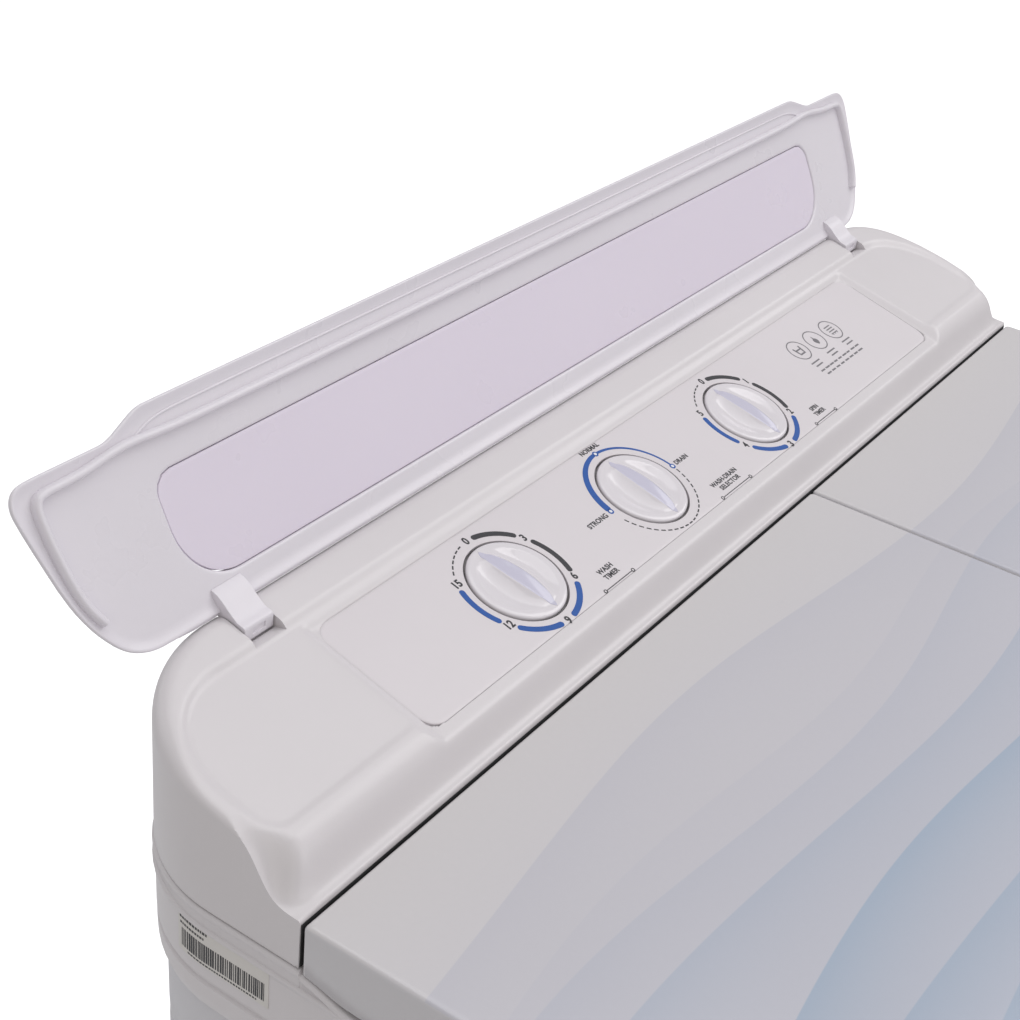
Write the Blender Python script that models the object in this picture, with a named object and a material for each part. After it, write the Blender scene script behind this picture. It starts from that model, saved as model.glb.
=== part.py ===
"""Twin tub washer: wash tub with pulsator on the left, spin extractor on the
right, control console with a flip cover along the rear edge.

+X is to the right seen from the front, +Y to the rear, +Z up. The origin is at
the bottom centre of the machine. The console cover is swung open and both lids
are shut. Dimensions are millimetres; add_object and boolean convert to metres.
"""
import bpy
import bmesh
from math import acos, atan2, cos, pi, radians, sin, sqrt, tan
from mathutils import Matrix, Vector

MM = 0.001
SHARP_ANGLE = radians(35)

# ---- casing dimensions --------------------------------------------------
HALF_W = 430.0            # half of the overall width
DECK_Z = 930.0            # level of the lid tops and of the console ledge
SEAM_Y = 97.15            # seam between the lids and the console
SEAM_X = 75.0             # seam between the wash lid and the spin lid
LID_FRONT = SEAM_Y - 378.0
LID_REAR = SEAM_Y - 3.0
LID_AXIS_Y, LID_AXIS_Z = SEAM_Y - 10.0, DECK_Z - 6.0
LID_EARS = {"wash_lid": (-395.0, 40.0), "spin_lid": (110.0, 395.0)}   # ear centres, x
HINGE_BORE_R = 1.65
CONSOLE_D = 135.0         # console depth behind the seam
BACK_Y = SEAM_Y + CONSOLE_D
FRONT_CORNER_R, REAR_CORNER_R = 26.0, 62.0       # plan corners
CORNER_STEPS = 4
CABINET_BOTTOM, CABINET_TOP = 60.0, 833.0
TRAY_Z = 34.3             # where the inner parts stand on the base tray

# ---- console dimensions -------------------------------------------------
RIM_SLOPE = radians(15.5)
WALL = 3.0                # skin over the hollow
PANEL_SLOPE = radians(15.0)
PANEL_Y0, PANEL_Z0 = SEAM_Y + 20.5, DECK_Z + 22.0    # front line of the panel
PANEL_X0, PANEL_X1 = -302.0, 310.0
PANEL_CX, PANEL_HALF = 0.5 * (PANEL_X0 + PANEL_X1), 0.5 * (PANEL_X1 - PANEL_X0)
PANEL_LEN = 82.0          # up the slope
SEAT_MARGIN = 1.0         # the recess is this much larger than the panel
WALL_RUN = 17.0           # width of the slope from the recess to the rim
# knob, shaft, mechanism, mechanism is square, x of the axis
CONTROLS = (
    ("wash_timer_knob", "wash_timer_shaft", "wash_timer", False, -184.9),
    ("wash_drain_selector_knob", "selector_shaft", "selector_switch", True, -50.8),
    ("spin_timer_knob", "spin_timer_shaft", "spin_timer", False, 82.8),
)
KNOB_V = 38.2             # knob centres, up the panel slope
KNOB_R = 30.0
COVER_OPEN = radians(62.0)      # open cover, measured from +Y towards +Z
COVER_ROOT_Y, COVER_ROOT_Z = SEAM_Y + 123.0, DECK_Z + 55.5
COVER_AXIS_Y, COVER_AXIS_Z = SEAM_Y + 117.0, DECK_Z + 50.5
COVER_LEN = 114.5
COVER_LIP = 9.5           # reach of the finger lip beyond the free edge
LUG_X = (-331.0, 358.0)
LUG_BORE_R = 2.3

# ---- inner parts --------------------------------------------------------
WASH_CX, WASH_CY = -172.0, -85.0                 # pulsator axis
WASH_HX, WASH_HY = 220.0, 168.0                  # wash tub half size at the rim
TUB_BOTTOM = 408.0
TUB_TOP = DECK_Z - 37.6
DRAIN_X, DRAIN_Y = WASH_CX + 150, WASH_CY + 85   # drain outlet of the wash tub
HOSE_X = DRAIN_X + 66.0
HOSE_EXIT_Z = 160
SPIN_CX, SPIN_CY = 250.0, -90.0                  # spin axis
SPIN_BOTTOM = 388.0
BASKET_R = 128.0
OUTER_R = 150.0
MOTOR_CX, MOTOR_CY = -110.0, 92.0                # wash motor axis
BELT_Z = 282.0
PULLEY_R, PINION_R = 100.0, 30.0
MOUNT_R = 92                                     # spin motor mounts from the axis
MOUNT_ANGLES = [pi / 2 + 2 * pi * k / 3 for k in range(3)]
SHOE_ANGLE = radians(70.0)                       # brake shoe round the spin axis

FINISHES = {
    "white": dict(color=(0.66, 0.64, 0.66), roughness=0.35),
    "white2": dict(color=(0.60, 0.59, 0.62), roughness=0.4),
    "lid": dict(color=(0.57, 0.57, 0.62), roughness=0.2),
    "knob": dict(color=(0.72, 0.72, 0.74), roughness=0.2),
    "tub": dict(color=(0.62, 0.65, 0.68), roughness=0.4),
    "blue": dict(color=(0.10, 0.22, 0.42), roughness=0.4),
    "rubber": dict(color=(0.03, 0.03, 0.032), roughness=0.8),
    "steel": dict(color=(0.55, 0.55, 0.56), roughness=0.35, metallic=1.0),
    "zinc": dict(color=(0.45, 0.46, 0.47), roughness=0.45, metallic=1.0),
    "alu": dict(color=(0.62, 0.62, 0.63), roughness=0.4, metallic=1.0),
    "motor": dict(color=(0.10, 0.11, 0.12), roughness=0.5, metallic=0.3),
    "hose": dict(color=(0.42, 0.43, 0.45), roughness=0.6),
    "base": dict(color=(0.05, 0.06, 0.08), roughness=0.6),
    "label": dict(color=(0.62, 0.58, 0.50), roughness=0.5),
    "brass": dict(color=(0.6, 0.42, 0.16), roughness=0.35, metallic=1.0),
}


# ---- objects ------------------------------------------------------------
def add_material(name, color, roughness, metallic=0.0):
    material = bpy.data.materials.new(name)
    material.use_nodes = True
    inputs = material.node_tree.nodes["Principled BSDF"].inputs
    inputs["Base Color"].default_value = (*color, 1.0)
    inputs["Roughness"].default_value = roughness
    inputs["Metallic"].default_value = metallic
    return material


def shade(mesh):
    mesh.shade_smooth()
    mesh.set_sharp_from_angle(angle=SHARP_ANGLE)


def link_solid(name, bm, origin):
    """Turn a bmesh in millimetres into a linked object, origin at the given point."""
    bmesh.ops.recalc_face_normals(bm, faces=bm.faces)
    origin = Vector(origin)
    for vert in bm.verts:
        vert.co = (vert.co - origin) * MM
    mesh = bpy.data.meshes.new(name)
    bm.to_mesh(mesh)
    bm.free()
    ob = bpy.data.objects.new(name, mesh)
    bpy.context.collection.objects.link(ob)
    ob.location = origin * MM
    return ob


def add_object(name, bm, finish, origin=(0, 0, 0)):
    ob = link_solid(name, bm, origin)
    ob.data.materials.append(add_material(name + "_mat", **FINISHES[finish]))
    shade(ob.data)
    bpy.context.view_layer.update()
    return ob


def boolean(ob, bm, operation):
    """Combine one closed bmesh with an object and keep the result."""
    tool = link_solid("tool", bm, (0, 0, 0))
    tool.hide_render = True
    modifier = ob.modifiers.new("b", 'BOOLEAN')
    modifier.object = tool
    modifier.operation = operation
    modifier.solver = 'EXACT'
    bpy.context.view_layer.update()
    depsgraph = bpy.context.evaluated_depsgraph_get()
    mesh = bpy.data.meshes.new_from_object(ob.evaluated_get(depsgraph))
    ob.modifiers.clear()
    mesh.name = ob.data.name
    ob.data = mesh
    bpy.data.objects.remove(tool, do_unlink=True)
    # weld the slivers left along the cut
    clean = bmesh.new()
    clean.from_mesh(mesh)
    bmesh.ops.remove_doubles(clean, verts=clean.verts, dist=0.00002)
    bmesh.ops.dissolve_degenerate(clean, edges=clean.edges, dist=0.00001)
    clean.to_mesh(mesh)
    clean.free()
    shade(mesh)


def cut(ob, bm):
    boolean(ob, bm, 'DIFFERENCE')


def join(ob, bm):
    boolean(ob, bm, 'UNION')


# ---- solids, all in millimetres -----------------------------------------
def loft(loops, closed=False):
    """Bridge equal-length point loops; cap both ends unless closed."""
    bm = bmesh.new()
    rings = [[bm.verts.new(Vector(point)) for point in loop] for loop in loops]
    count = len(rings[0])
    pairs = list(zip(rings[:-1], rings[1:]))
    if closed:
        pairs.append((rings[-1], rings[0]))
    for a, b in pairs:
        for i in range(count):
            j = (i + 1) % count
            bm.faces.new((a[i], a[j], b[j], b[i]))
    if not closed:
        bm.faces.new(rings[0][::-1])
        bm.faces.new(rings[-1])
    return bm


def circle(cx, cy, z, radius, segments):
    angles = [2 * pi * i / segments for i in range(segments)]
    return [(cx + radius * cos(a), cy + radius * sin(a), z) for a in angles]


def corner_arc(cx, cy, radius, quarter, steps):
    """Points (x, y) round one quarter circle, counter-clockwise."""
    angles = [quarter * pi / 2 + i * pi / 2 / steps for i in range(steps + 1)]
    return [(cx + radius * cos(a), cy + radius * sin(a)) for a in angles]


def rounded_rect(cx, cy, z, hx, hy, radius, steps):
    """Rounded rectangle of half sizes hx, hy, counter-clockwise."""
    points = []
    for quarter, (sx, sy) in enumerate(((1, 1), (-1, 1), (-1, -1), (1, -1))):
        ox, oy = cx + sx * (hx - radius), cy + sy * (hy - radius)
        points += [(x, y, z) for x, y in corner_arc(ox, oy, radius, quarter, steps)]
    return points


def box(low, high):
    return loft([[(low[0], low[1], z), (high[0], low[1], z),
                  (high[0], high[1], z), (low[0], high[1], z)] for z in (low[2], high[2])])


AXIS_TURN = {
    "Z": Matrix.Identity(3),
    "X": Matrix(((0, 0, 1), (0, 1, 0), (-1, 0, 0))),
    "Y": Matrix(((1, 0, 0), (0, 0, 1), (0, -1, 0))),
}


def cylinder(base, radius, length, segments, axis="Z"):
    """Cylinder from the base point along +axis."""
    bm = loft([circle(0, 0, z, radius, segments) for z in (0, length)])
    for vert in bm.verts:
        vert.co = AXIS_TURN[axis] @ vert.co + Vector(base)
    return bm


def lathe(cx, cy, profile, segments):
    """Turn (radius, z) points about a vertical axis; both ends have radius 0."""
    bm = bmesh.new()
    rows = []
    for radius, z in profile:
        points = [(cx, cy, z)] if radius == 0 else circle(cx, cy, z, radius, segments)
        rows.append([bm.verts.new(point) for point in points])
    for a, b in zip(rows[:-1], rows[1:]):
        for i in range(segments):
            j = (i + 1) % segments
            if len(a) == 1:
                bm.faces.new((a[0], b[j], b[i]))
            elif len(b) == 1:
                bm.faces.new((a[i], a[j], b[0]))
            else:
                bm.faces.new((a[i], a[j], b[j], b[i]))
    return bm


def lathe_ring(cx, cy, profile, segments):
    """Turn a closed (radius, z) outline about a vertical axis, leaving a bore."""
    return loft([circle(cx, cy, z, radius, segments) for radius, z in profile], closed=True)


def prism_x(outline, x0, x1):
    """Prism of a (y, z) outline between two x planes."""
    return loft([[(x, y, z) for y, z in outline] for x in (x0, x1)])


def prism_z(outline, z0, z1):
    """Prism of an (x, y) outline between two levels."""
    return loft([[(x, y, z) for x, y in outline] for z in (z0, z1)])


def pipe(path, radius, segments, bore=0.0):
    """Pipe along a polyline of points; open right through when bore > 0."""
    points = [Vector(point) for point in path]
    frames = []
    side = None
    for i, point in enumerate(points):
        ahead = points[min(i + 1, len(points) - 1)]
        direction = (ahead - points[max(i - 1, 0)]).normalized()
        if side is None:
            side = Vector((0, 0, 1)).cross(direction)
            if side.length < 0.2:       # the path starts nearly vertical
                side = Vector((1, 0, 0))
            side.normalize()
        else:                           # carry the frame along without twist
            side = (side - direction * side.dot(direction)).normalized()
        frames.append((point, side, direction.cross(side)))

    def section(frame, r):
        point, a, b = frame
        angles = [2 * pi * i / segments for i in range(segments)]
        return [point + a * (r * cos(angle)) + b * (r * sin(angle)) for angle in angles]

    outer = [section(frame, radius) for frame in frames]
    if bore <= 0:
        return loft(outer)
    inner = [section(frame, bore) for frame in frames]
    return loft(outer + inner[::-1], closed=True)


# ---- places -------------------------------------------------------------
def turned(cx, cy, angle, along, across=0.0):
    """Point (x, y) at a distance along and across a ray from a centre."""
    c, s = cos(angle), sin(angle)
    return cx + along * c - across * s, cy + along * s + across * c


def from_seam(points):
    """(behind the seam, above the deck) to (y, z)."""
    return [(SEAM_Y + y, DECK_Z + z) for y, z in points]


def plan(inset):
    """Plan outline (x, y) of the machine with larger rear corners."""
    half = HALF_W - inset
    front, rear = LID_FRONT + inset, BACK_Y - inset
    points = []
    for quarter, (side, edge, radius) in enumerate((
            (1, rear, REAR_CORNER_R), (-1, rear, REAR_CORNER_R),
            (-1, front, FRONT_CORNER_R), (1, front, FRONT_CORNER_R))):
        r = max(3.0, radius - inset)
        cy = edge - r if edge > 0 else edge + r
        points += corner_arc(side * (half - r), cy, r, quarter, CORNER_STEPS)
    return points


def plan_loops(stations):
    """Loops of the plan outline at (inset, z) stations."""
    return [[(x, y, z) for x, y in plan(inset)] for inset, z in stations]


def cabinet_inset(z):
    """Inset of the cabinet sides, which taper in towards the floor."""
    return 6.0 + 12.0 * (1 - (z - CABINET_BOTTOM) / (CABINET_TOP - CABINET_BOTTOM))


# ---- console housing ----------------------------------------------------
# (behind the front lip, above the deck) down the front of the console
FRONT_DROP = ((-9, 2), (0, 2), (12, 3), (17, 7), (20, 17), (22, 24), (29, 29.6))
REAR_ROUND_R = 12.0
TRAY_CORNER_R = 52.0      # rear corners of the tray floors at the console ends
OPEN = 1e9                # no limit on the height here


def smoothstep(t):
    t = max(0.0, min(1.0, t))
    return t * t * (3 - 2 * t)


def rim_z(y):
    """Rim plane of the console, sloping up to the rear."""
    return DECK_Z + 29.6 + tan(RIM_SLOPE) * (y - SEAM_Y - 29.0)


def panel_z(y):
    return PANEL_Z0 + tan(PANEL_SLOPE) * (y - PANEL_Y0)


def lip_shift(x):
    """The front lip stands 9 mm further forward between the finger scoops."""
    return 9.0 * smoothstep((370.0 - abs(x)) / 28.0)


def front_face(y, x):
    """Height of the front drop from the lip to the ledge."""
    behind = y - SEAM_Y + lip_shift(x)
    if behind >= 29:
        return OPEN
    for (a, za), (b, zb) in zip(FRONT_DROP[:-1], FRONT_DROP[1:]):
        if behind <= b:
            return DECK_Z + za + (zb - za) * (behind - a) / (b - a)
    return OPEN


def rounding_drop(d):
    """Drop of the rounded rear edge at a distance d in front of the rear."""
    return REAR_ROUND_R - sqrt(max(0.0, REAR_ROUND_R ** 2 - (REAR_ROUND_R - d) ** 2))


def rear_round(y):
    """Rounded rear-top edge of the console."""
    d = BACK_Y - y
    if d >= REAR_ROUND_R:
        return OPEN
    return rim_z(BACK_Y - REAR_ROUND_R) - rounding_drop(d)


def tray_floor(y):
    return rim_z(y) - (2.5 + 3.5 * (y - SEAM_Y - 30) / 90.0)


def console_top(x, y):
    """Top skin of the console housing as a height over the plan."""
    z = min(rim_z(y), front_face(y, x), rear_round(y))
    # shallow tray floors at the two ends, inside the rim
    from_side = HALF_W - 12.0 - abs(x)
    from_edge = min(y - SEAM_Y - (38.0 - lip_shift(x)), SEAM_Y + 119.0 - y)
    inside = min(from_side, from_edge)
    corner_x = max(0.0, TRAY_CORNER_R - from_side)
    corner_y = max(0.0, y - (SEAM_Y + 67.0))
    if corner_x > 0 and corner_y > 0:
        inside = min(inside, TRAY_CORNER_R - sqrt(corner_x ** 2 + corner_y ** 2))
    if inside > 0:
        z = min(z, rim_z(y) - (rim_z(y) - tray_floor(y)) * smoothstep(inside / 6.0))
    # recess that holds the control panel
    outside_x = abs(x - PANEL_CX) - (PANEL_HALF + SEAT_MARGIN)
    outside_y = (y - PANEL_Y0) - (PANEL_LEN * cos(PANEL_SLOPE) + SEAT_MARGIN)
    outside = max(outside_x, outside_y, PANEL_Y0 - SEAT_MARGIN - y)
    if outside <= 0:
        z = min(z, panel_z(y) - 3.4)
    elif y >= PANEL_Y0 - SEAT_MARGIN and outside < WALL_RUN:
        rise = (rim_z(y) - panel_z(y)) * smoothstep(outside / WALL_RUN)
        z = min(z, panel_z(y) + 0.2 + rise)
    return z


def console_rear(x):
    """Rear limit of the console plan at x (rounded rear corners)."""
    r = REAR_CORNER_R
    straight = HALF_W - r
    if abs(x) <= straight:
        return BACK_Y
    return BACK_Y - r + sqrt(max(0.0, r * r - (abs(x) - straight) ** 2))


def console_point(x, behind):
    """Point of the top skin at grid station (x, distance behind the seam)."""
    depth = console_rear(x) - SEAM_Y
    in_corner = depth / CONSOLE_D < 1
    y = SEAM_Y + behind
    if in_corner and behind > 60:      # squeeze the rear rows into the rounded corner
        y = SEAM_Y + 60 + (behind - 60) * (depth - 60) / (CONSOLE_D - 60)
    z = console_top(x, y)
    if in_corner and behind > 119:
        z = rim_z(y) - 2.0 - rounding_drop(min(CONSOLE_D - behind, REAR_ROUND_R)) * 0.9
    if abs(x) > 426.9:                 # end rim, its outer edge 3 mm lower
        z = min(z, rim_z(y)) - (3.0 if abs(x) > 429 else 0.0)
        z = min(z, front_face(y, x))
    return x, y, z


def console_solid():
    """Solid from the top skin down to the skirt."""
    seat_x0, seat_x1 = PANEL_X0 - SEAT_MARGIN, PANEL_X1 + SEAT_MARGIN
    seat_rear = PANEL_Y0 + PANEL_LEN * cos(PANEL_SLOPE) + SEAT_MARGIN - SEAM_Y
    xs = [-430, -427, -418, -412, -400, -385, -370, -356, -342,
          seat_x0 - 17.0, seat_x0 - 8.0, seat_x0 - 0.02, seat_x0,
          seat_x1, seat_x1 + 0.02, seat_x1 + 8.0, seat_x1 + 17.0,
          342, 356, 370, 385, 400, 412, 418, 427, 430]
    rows = [0.0, 3.0, 8.0, 11.0, 13.0, 16.0, 19.49, 19.5, 29.0, 36.0, 44.0, 80.0,
            seat_rear - 0.01, seat_rear + 0.01, seat_rear + 8.0,
            113.0, 119.0, 124.0, 131.0, 135.0]
    nx, ny = len(xs), len(rows)
    border = ([(i, 0) for i in range(nx)]
              + [(nx - 1, j) for j in range(1, ny)]
              + [(i, ny - 1) for i in range(nx - 2, -1, -1)]
              + [(0, j) for j in range(ny - 2, 0, -1)])
    on_border = set(border)
    bm = bmesh.new()
    top, bottom = {}, {}
    for i, x in enumerate(xs):
        for j, behind in enumerate(rows):
            point = console_point(x, behind)
            top[i, j] = bm.verts.new(point)
            if (i, j) in on_border:
                bottom[i, j] = bm.verts.new((x, point[1], DECK_Z - 28.0))
    for i in range(nx - 1):
        for j in range(ny - 1):
            bm.faces.new((top[i, j], top[i + 1, j], top[i + 1, j + 1], top[i, j + 1]))
    for a, b in zip(border, border[1:] + border[:1]):
        bm.faces.new((top[a], bottom[a], bottom[b], top[b]))
    bm.faces.new([bottom[station] for station in border])
    return bm


def hollow_console(console):
    """Hollow the housing from below: a long middle pocket and two end pockets."""
    under_panel_y = SEAM_Y + 104.0
    middle = from_seam([(WALL, -29), (WALL, -1.5), (8, -1.0), (14.5, 5.0), (18, 14.5), (20, 15.4)])
    middle += [(under_panel_y, panel_z(under_panel_y) - 6.6)]
    middle += from_seam([(112, 42.0), (128, 44.0), (CONSOLE_D - WALL, 38.0),
                         (CONSOLE_D - WALL, -29)])
    cut(console, prism_x(middle, -372, 372))
    end = from_seam([(WALL, -29), (WALL, -1.0), (16, 4), (24, 20), (62, 28), (82, 34), (82, -29)])
    for side in (-1, 1):
        x0, x1 = sorted((side * 371.5, side * (HALF_W - WALL)))
        cut(console, prism_x(end, x0, x1))


def build_console():
    console = add_object("console_housing", console_solid(), "white")
    hollow_console(console)
    shaft_y = PANEL_Y0 + KNOB_V * cos(PANEL_SLOPE)
    for *_, x in CONTROLS:                  # shaft holes under the knobs
        cut(console, cylinder((x, shaft_y, DECK_Z + 5), 9.0, 60, 10))
    y, z = COVER_AXIS_Y, COVER_AXIS_Z
    for x in LUG_X:                         # slots for the cover's hinge lugs
        cut(console, box((x - 11, y - 9, DECK_Z + 40), (x + 11, BACK_Y + 5, DECK_Z + 80)))
        for side in (-1, 1):                # pin bosses either side of the slot
            x0, x1 = sorted((x + side * 11.4, x + side * 17.0))
            join(console, box((x0, y - 5, DECK_Z + 41), (x1, y + 5, DECK_Z + 55)))
        cut(console, cylinder((x - 16, y, z), LUG_BORE_R, 32, 8, "X"))
        name = "cover_pin_left" if x < 0 else "cover_pin_right"
        add_object(name, cylinder((x - 15.5, y, z), 1.9, 31.0, 8, "X"), "steel")


# ---- control panel ------------------------------------------------------
def on_panel(u, v, n):
    """World point at u across, v up the slope and n above the panel."""
    c, s = cos(PANEL_SLOPE), sin(PANEL_SLOPE)
    return Vector((u, PANEL_Y0 + v * c - n * s, PANEL_Z0 + v * s + n * c))


def tilt(bm):
    """Take a bmesh built flat in (u, v, n) onto the sloping panel."""
    for vert in bm.verts:
        vert.co = on_panel(*vert.co)
    return bm


def build_panel():
    half_len = PANEL_LEN / 2
    # (height above the panel plane, inset)
    stations = ((-2.6, 0), (-0.6, 0), (0, 0.6))
    loops = [rounded_rect(PANEL_CX, 0.5 + half_len, n, PANEL_HALF - inset,
                          half_len - 0.5 - inset, 11, 4) for n, inset in stations]
    panel = add_object("control_panel", tilt(loft(loops)), "white")
    for *_, x in CONTROLS:
        cut(panel, tilt(cylinder((x, KNOB_V, -10), 8.0, 20, 10)))


def build_knob(name, u):
    """Low disc with a lens-shaped grip bar along the slope."""
    disc = loft([circle(u, KNOB_V, n, radius, 20)
                 for radius, n in ((KNOB_R - 0.8, 0.6), (KNOB_R, 1.2), (KNOB_R - 1.0, 2.2))])
    knob = add_object(name, tilt(disc), "knob", on_panel(u, KNOB_V, 0))
    grip_half_len = 26.5
    grip = []
    # (height, half width, length factor)
    for n, half_width, stretch in ((1.4, 8.6, 1.0), (5.0, 5.8, 0.98), (5.8, 4.8, 0.93)):
        loop = []
        for i in range(12):
            a = 2 * pi * i / 12
            across = half_width * cos(a) * (0.55 + 0.45 * abs(cos(a)))
            loop.append((u + across, KNOB_V + grip_half_len * stretch * sin(a), n))
        grip.append(loop)
    join(knob, tilt(loft(grip)))
    cut(knob, tilt(cylinder((u, KNOB_V, -1), 3.3, 5.2, 8)))     # shaft socket


def build_controls():
    for knob_name, shaft_name, body_name, is_square, u in CONTROLS:
        build_knob(knob_name, u)
        # shaft from inside the mechanism up into the knob
        shaft = cylinder((u, KNOB_V, -20), 2.9, 23.9, 8)
        add_object(shaft_name, tilt(shaft), "brass", on_panel(u, KNOB_V, 0))
        if is_square:
            body = loft([rounded_rect(u, KNOB_V, n, 24, 20, 4, 2) for n in (-38, -9.5)])
        else:
            body = lathe(u, KNOB_V, [(0, -44), (29, -44), (29, -9.5), (0, -9.5)], 16)
        mechanism = add_object(body_name, tilt(body), "base")
        cut(mechanism, tilt(cylinder((u, KNOB_V, -21), 3.4, 14, 8)))


# ---- console cover ------------------------------------------------------
# The cover is laid out by x, distance s from its root line and height t
# towards the console side.
COVER_ALONG = Vector((0, cos(COVER_OPEN), sin(COVER_OPEN)))
COVER_NORMAL = Vector((0, -sin(COVER_OPEN), cos(COVER_OPEN)))


def cover_outline(inset):
    """Outline (x, s): rounded corners at the root, finger lip on the free edge."""
    free_edge = COVER_LEN - COVER_LIP - inset
    half, r = HALF_W - inset, 42.0 - inset
    right = []
    for i in range(5):
        a = -pi / 2 + i * pi / 8
        right.append((half - 8 - r + r * cos(a), 5 + inset + r + r * sin(a)))
    right += [(half - 1.5, 80), (half - 0.3, 97 - inset),
              (half - 4, free_edge + 1 - 2 + 0) if False else (half - 4, 104 - inset),
              (400, free_edge)]
    for i in range(5):
        x = 372 - i * 7.5
        right.append((x, free_edge + COVER_LIP * smoothstep((372 - x) / 30.0)))
    right.append((170, COVER_LEN - inset))
    left = [(-x, s) for x, s in reversed(right)]
    return right + [(0, COVER_LEN - inset)] + left


def cover_dish(inset):
    """Inner outline matched point for point to the rim outline."""
    scale_x = (350.0 - inset) / HALF_W
    scale_s = (64.0 - 2 * inset) / (COVER_LEN - 5.0)
    return [(x * scale_x, 18 + inset + (s - 5.0) * scale_s) for x, s in cover_outline(0.0)]


def build_cover():
    # (outline, inset, height t), from the outer face round the rim to the dish
    stations = (
        (cover_dish, 4.0, -12.5), (cover_dish, -3.5, -8.5),
        (cover_outline, 1.2, -8.5), (cover_outline, 0.0, -7.0),
        (cover_outline, 0.0, -0.6), (cover_outline, 0.4, 0.0),
        (cover_outline, 2.4, 0.0), (cover_outline, 2.8, -6.0),
        (cover_dish, -1.5, -6.0), (cover_dish, 4.0, -10.0),
    )
    loops = [[Vector((x, COVER_ROOT_Y, COVER_ROOT_Z)) + COVER_ALONG * s + COVER_NORMAL * t
              for x, s in outline(inset)] for outline, inset, t in stations]
    y, z = COVER_AXIS_Y, COVER_AXIS_Z
    cover = add_object("console_cover", loft(loops), "white", (0, y, z))
    # (s, t) from the hinge axis
    arm_outline = ((-3.2, 0.5), (2.0, 3.0), (22.0, -8.0), (22.0, -11.3), (6.0, -11.3))
    for x in LUG_X:
        arm = [Vector((x, y, z)) + COVER_ALONG * s + COVER_NORMAL * t for s, t in arm_outline]
        join(cover, prism_x([(p.y, p.z) for p in arm], x - 9.5, x + 9.5))
        join(cover, cylinder((x - 9.1, y, z), 4.4, 18.2, 12, "X"))
        cut(cover, cylinder((x - 12, y, z), LUG_BORE_R, 24, 8, "X"))


# ---- top frame and lids -------------------------------------------------
# lid hinge ear, (y, z) from the hinge axis
EAR_OUTLINE = (
    (-5.5, -36), (3, -36), (3, -11.2), (1.5, -9.4), (1.5, -7), (2.5, -1.2),
    (2.4, 1.0), (1.2, 2.3), (-0.6, 2.6), (-2.8, 2.0), (-5.5, -2),
)


def collar_outline(inset, front):
    """Rear part of the plan (x, y), ending a distance front behind the seam."""
    rear = [(x, y) for x, y in plan(inset) if y > 60]
    return [(HALF_W - inset, SEAM_Y + front)] + rear + [(-HALF_W + inset, SEAM_Y + front)]


def build_top_frame():
    """Deck with two tub openings, skirt, console collar and lid hinge ears."""
    # (inset, z)
    outside = ((5.2, 835), (1.2, 846), (0.6, 884), (0.6, DECK_Z - 40.0),
               (2.2, DECK_Z - 38.5), (4.4, DECK_Z - 38.5))
    inside = ((8.4, 800), (4.2, 845), (3.6, DECK_Z - 42.0))
    frame = add_object("top_frame", loft(plan_loops(outside)), "white")
    cut(frame, loft(plan_loops(inside)))
    # collar carrying the console behind the lids
    low, high = DECK_Z - 41.0, DECK_Z - 28.4
    outer, inner = collar_outline(2.6, 1), collar_outline(6.0, 4.4)
    section = ((outer, low), (outer, high), (inner, high), (inner, low))
    join(frame, loft([[(x, y, z) for x, y in outline] for outline, z in section], closed=True))
    # openings for the wash tub, the spin tub, and the wiring and hose
    cut(frame, loft([rounded_rect(WASH_CX, WASH_CY, z, WASH_HX - 4, WASH_HY - 4, 41, 5)
                     for z in (870, 910)]))
    cut(frame, cylinder((SPIN_CX, SPIN_CY, 870), OUTER_R - 3.7, 40, 28))
    cut(frame, box((-330, 112, 870), (330, 190, 900)))
    ear = [(LID_AXIS_Y + y, LID_AXIS_Z + z) for y, z in EAR_OUTLINE]
    for ear_xs in LID_EARS.values():
        for x in ear_xs:
            join(frame, prism_x(ear, x - 4, x + 4))
            cut(frame, cylinder((x - 6, LID_AXIS_Y, LID_AXIS_Z), HINGE_BORE_R, 12, 10, "X"))


def skirt_edge(x, y):
    """Lid skirt edge: deep at the front and outer side, shallow at seam and rear."""
    if y > LID_REAR - 9:
        return DECK_Z - 10.0
    if abs(x - SEAM_X) < 12 and y > LID_FRONT + 9:
        return DECK_Z - 12.0
    return DECK_Z - (35.0 if y < LID_REAR - 30 else 30.0)


def lid_outline(x0, x1, inset):
    """Lid outline (x, y) with extra points where the skirt edge steps."""
    corners = [(x, y) for x, y, _ in rounded_rect(
        0.5 * (x0 + x1), 0.5 * (LID_FRONT + LID_REAR), 0,
        0.5 * (x1 - x0) - inset, 0.5 * (LID_REAR - LID_FRONT) - inset, 8.0 - inset * 0.5, 3)]
    step_x = SEAM_X - 14 if x1 < SEAM_X else SEAM_X + 14
    points = []
    for a, b in zip(corners, corners[1:] + corners[:1]):
        points.append(a)
        if abs(a[1] - b[1]) > 100:          # the two sides
            step_ys = [LID_REAR - 9.5, LID_REAR - 14]
            if b[1] > a[1]:
                step_ys.reverse()
            for y in step_ys:
                t = (y - a[1]) / (b[1] - a[1])
                points.append((a[0] + (b[0] - a[0]) * t, y))
        elif abs(a[0] - b[0]) > 100:        # the front and rear edges
            t = (step_x - a[0]) / (b[0] - a[0])
            points.append((step_x, a[1] + (b[1] - a[1]) * t))
    return points


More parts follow.
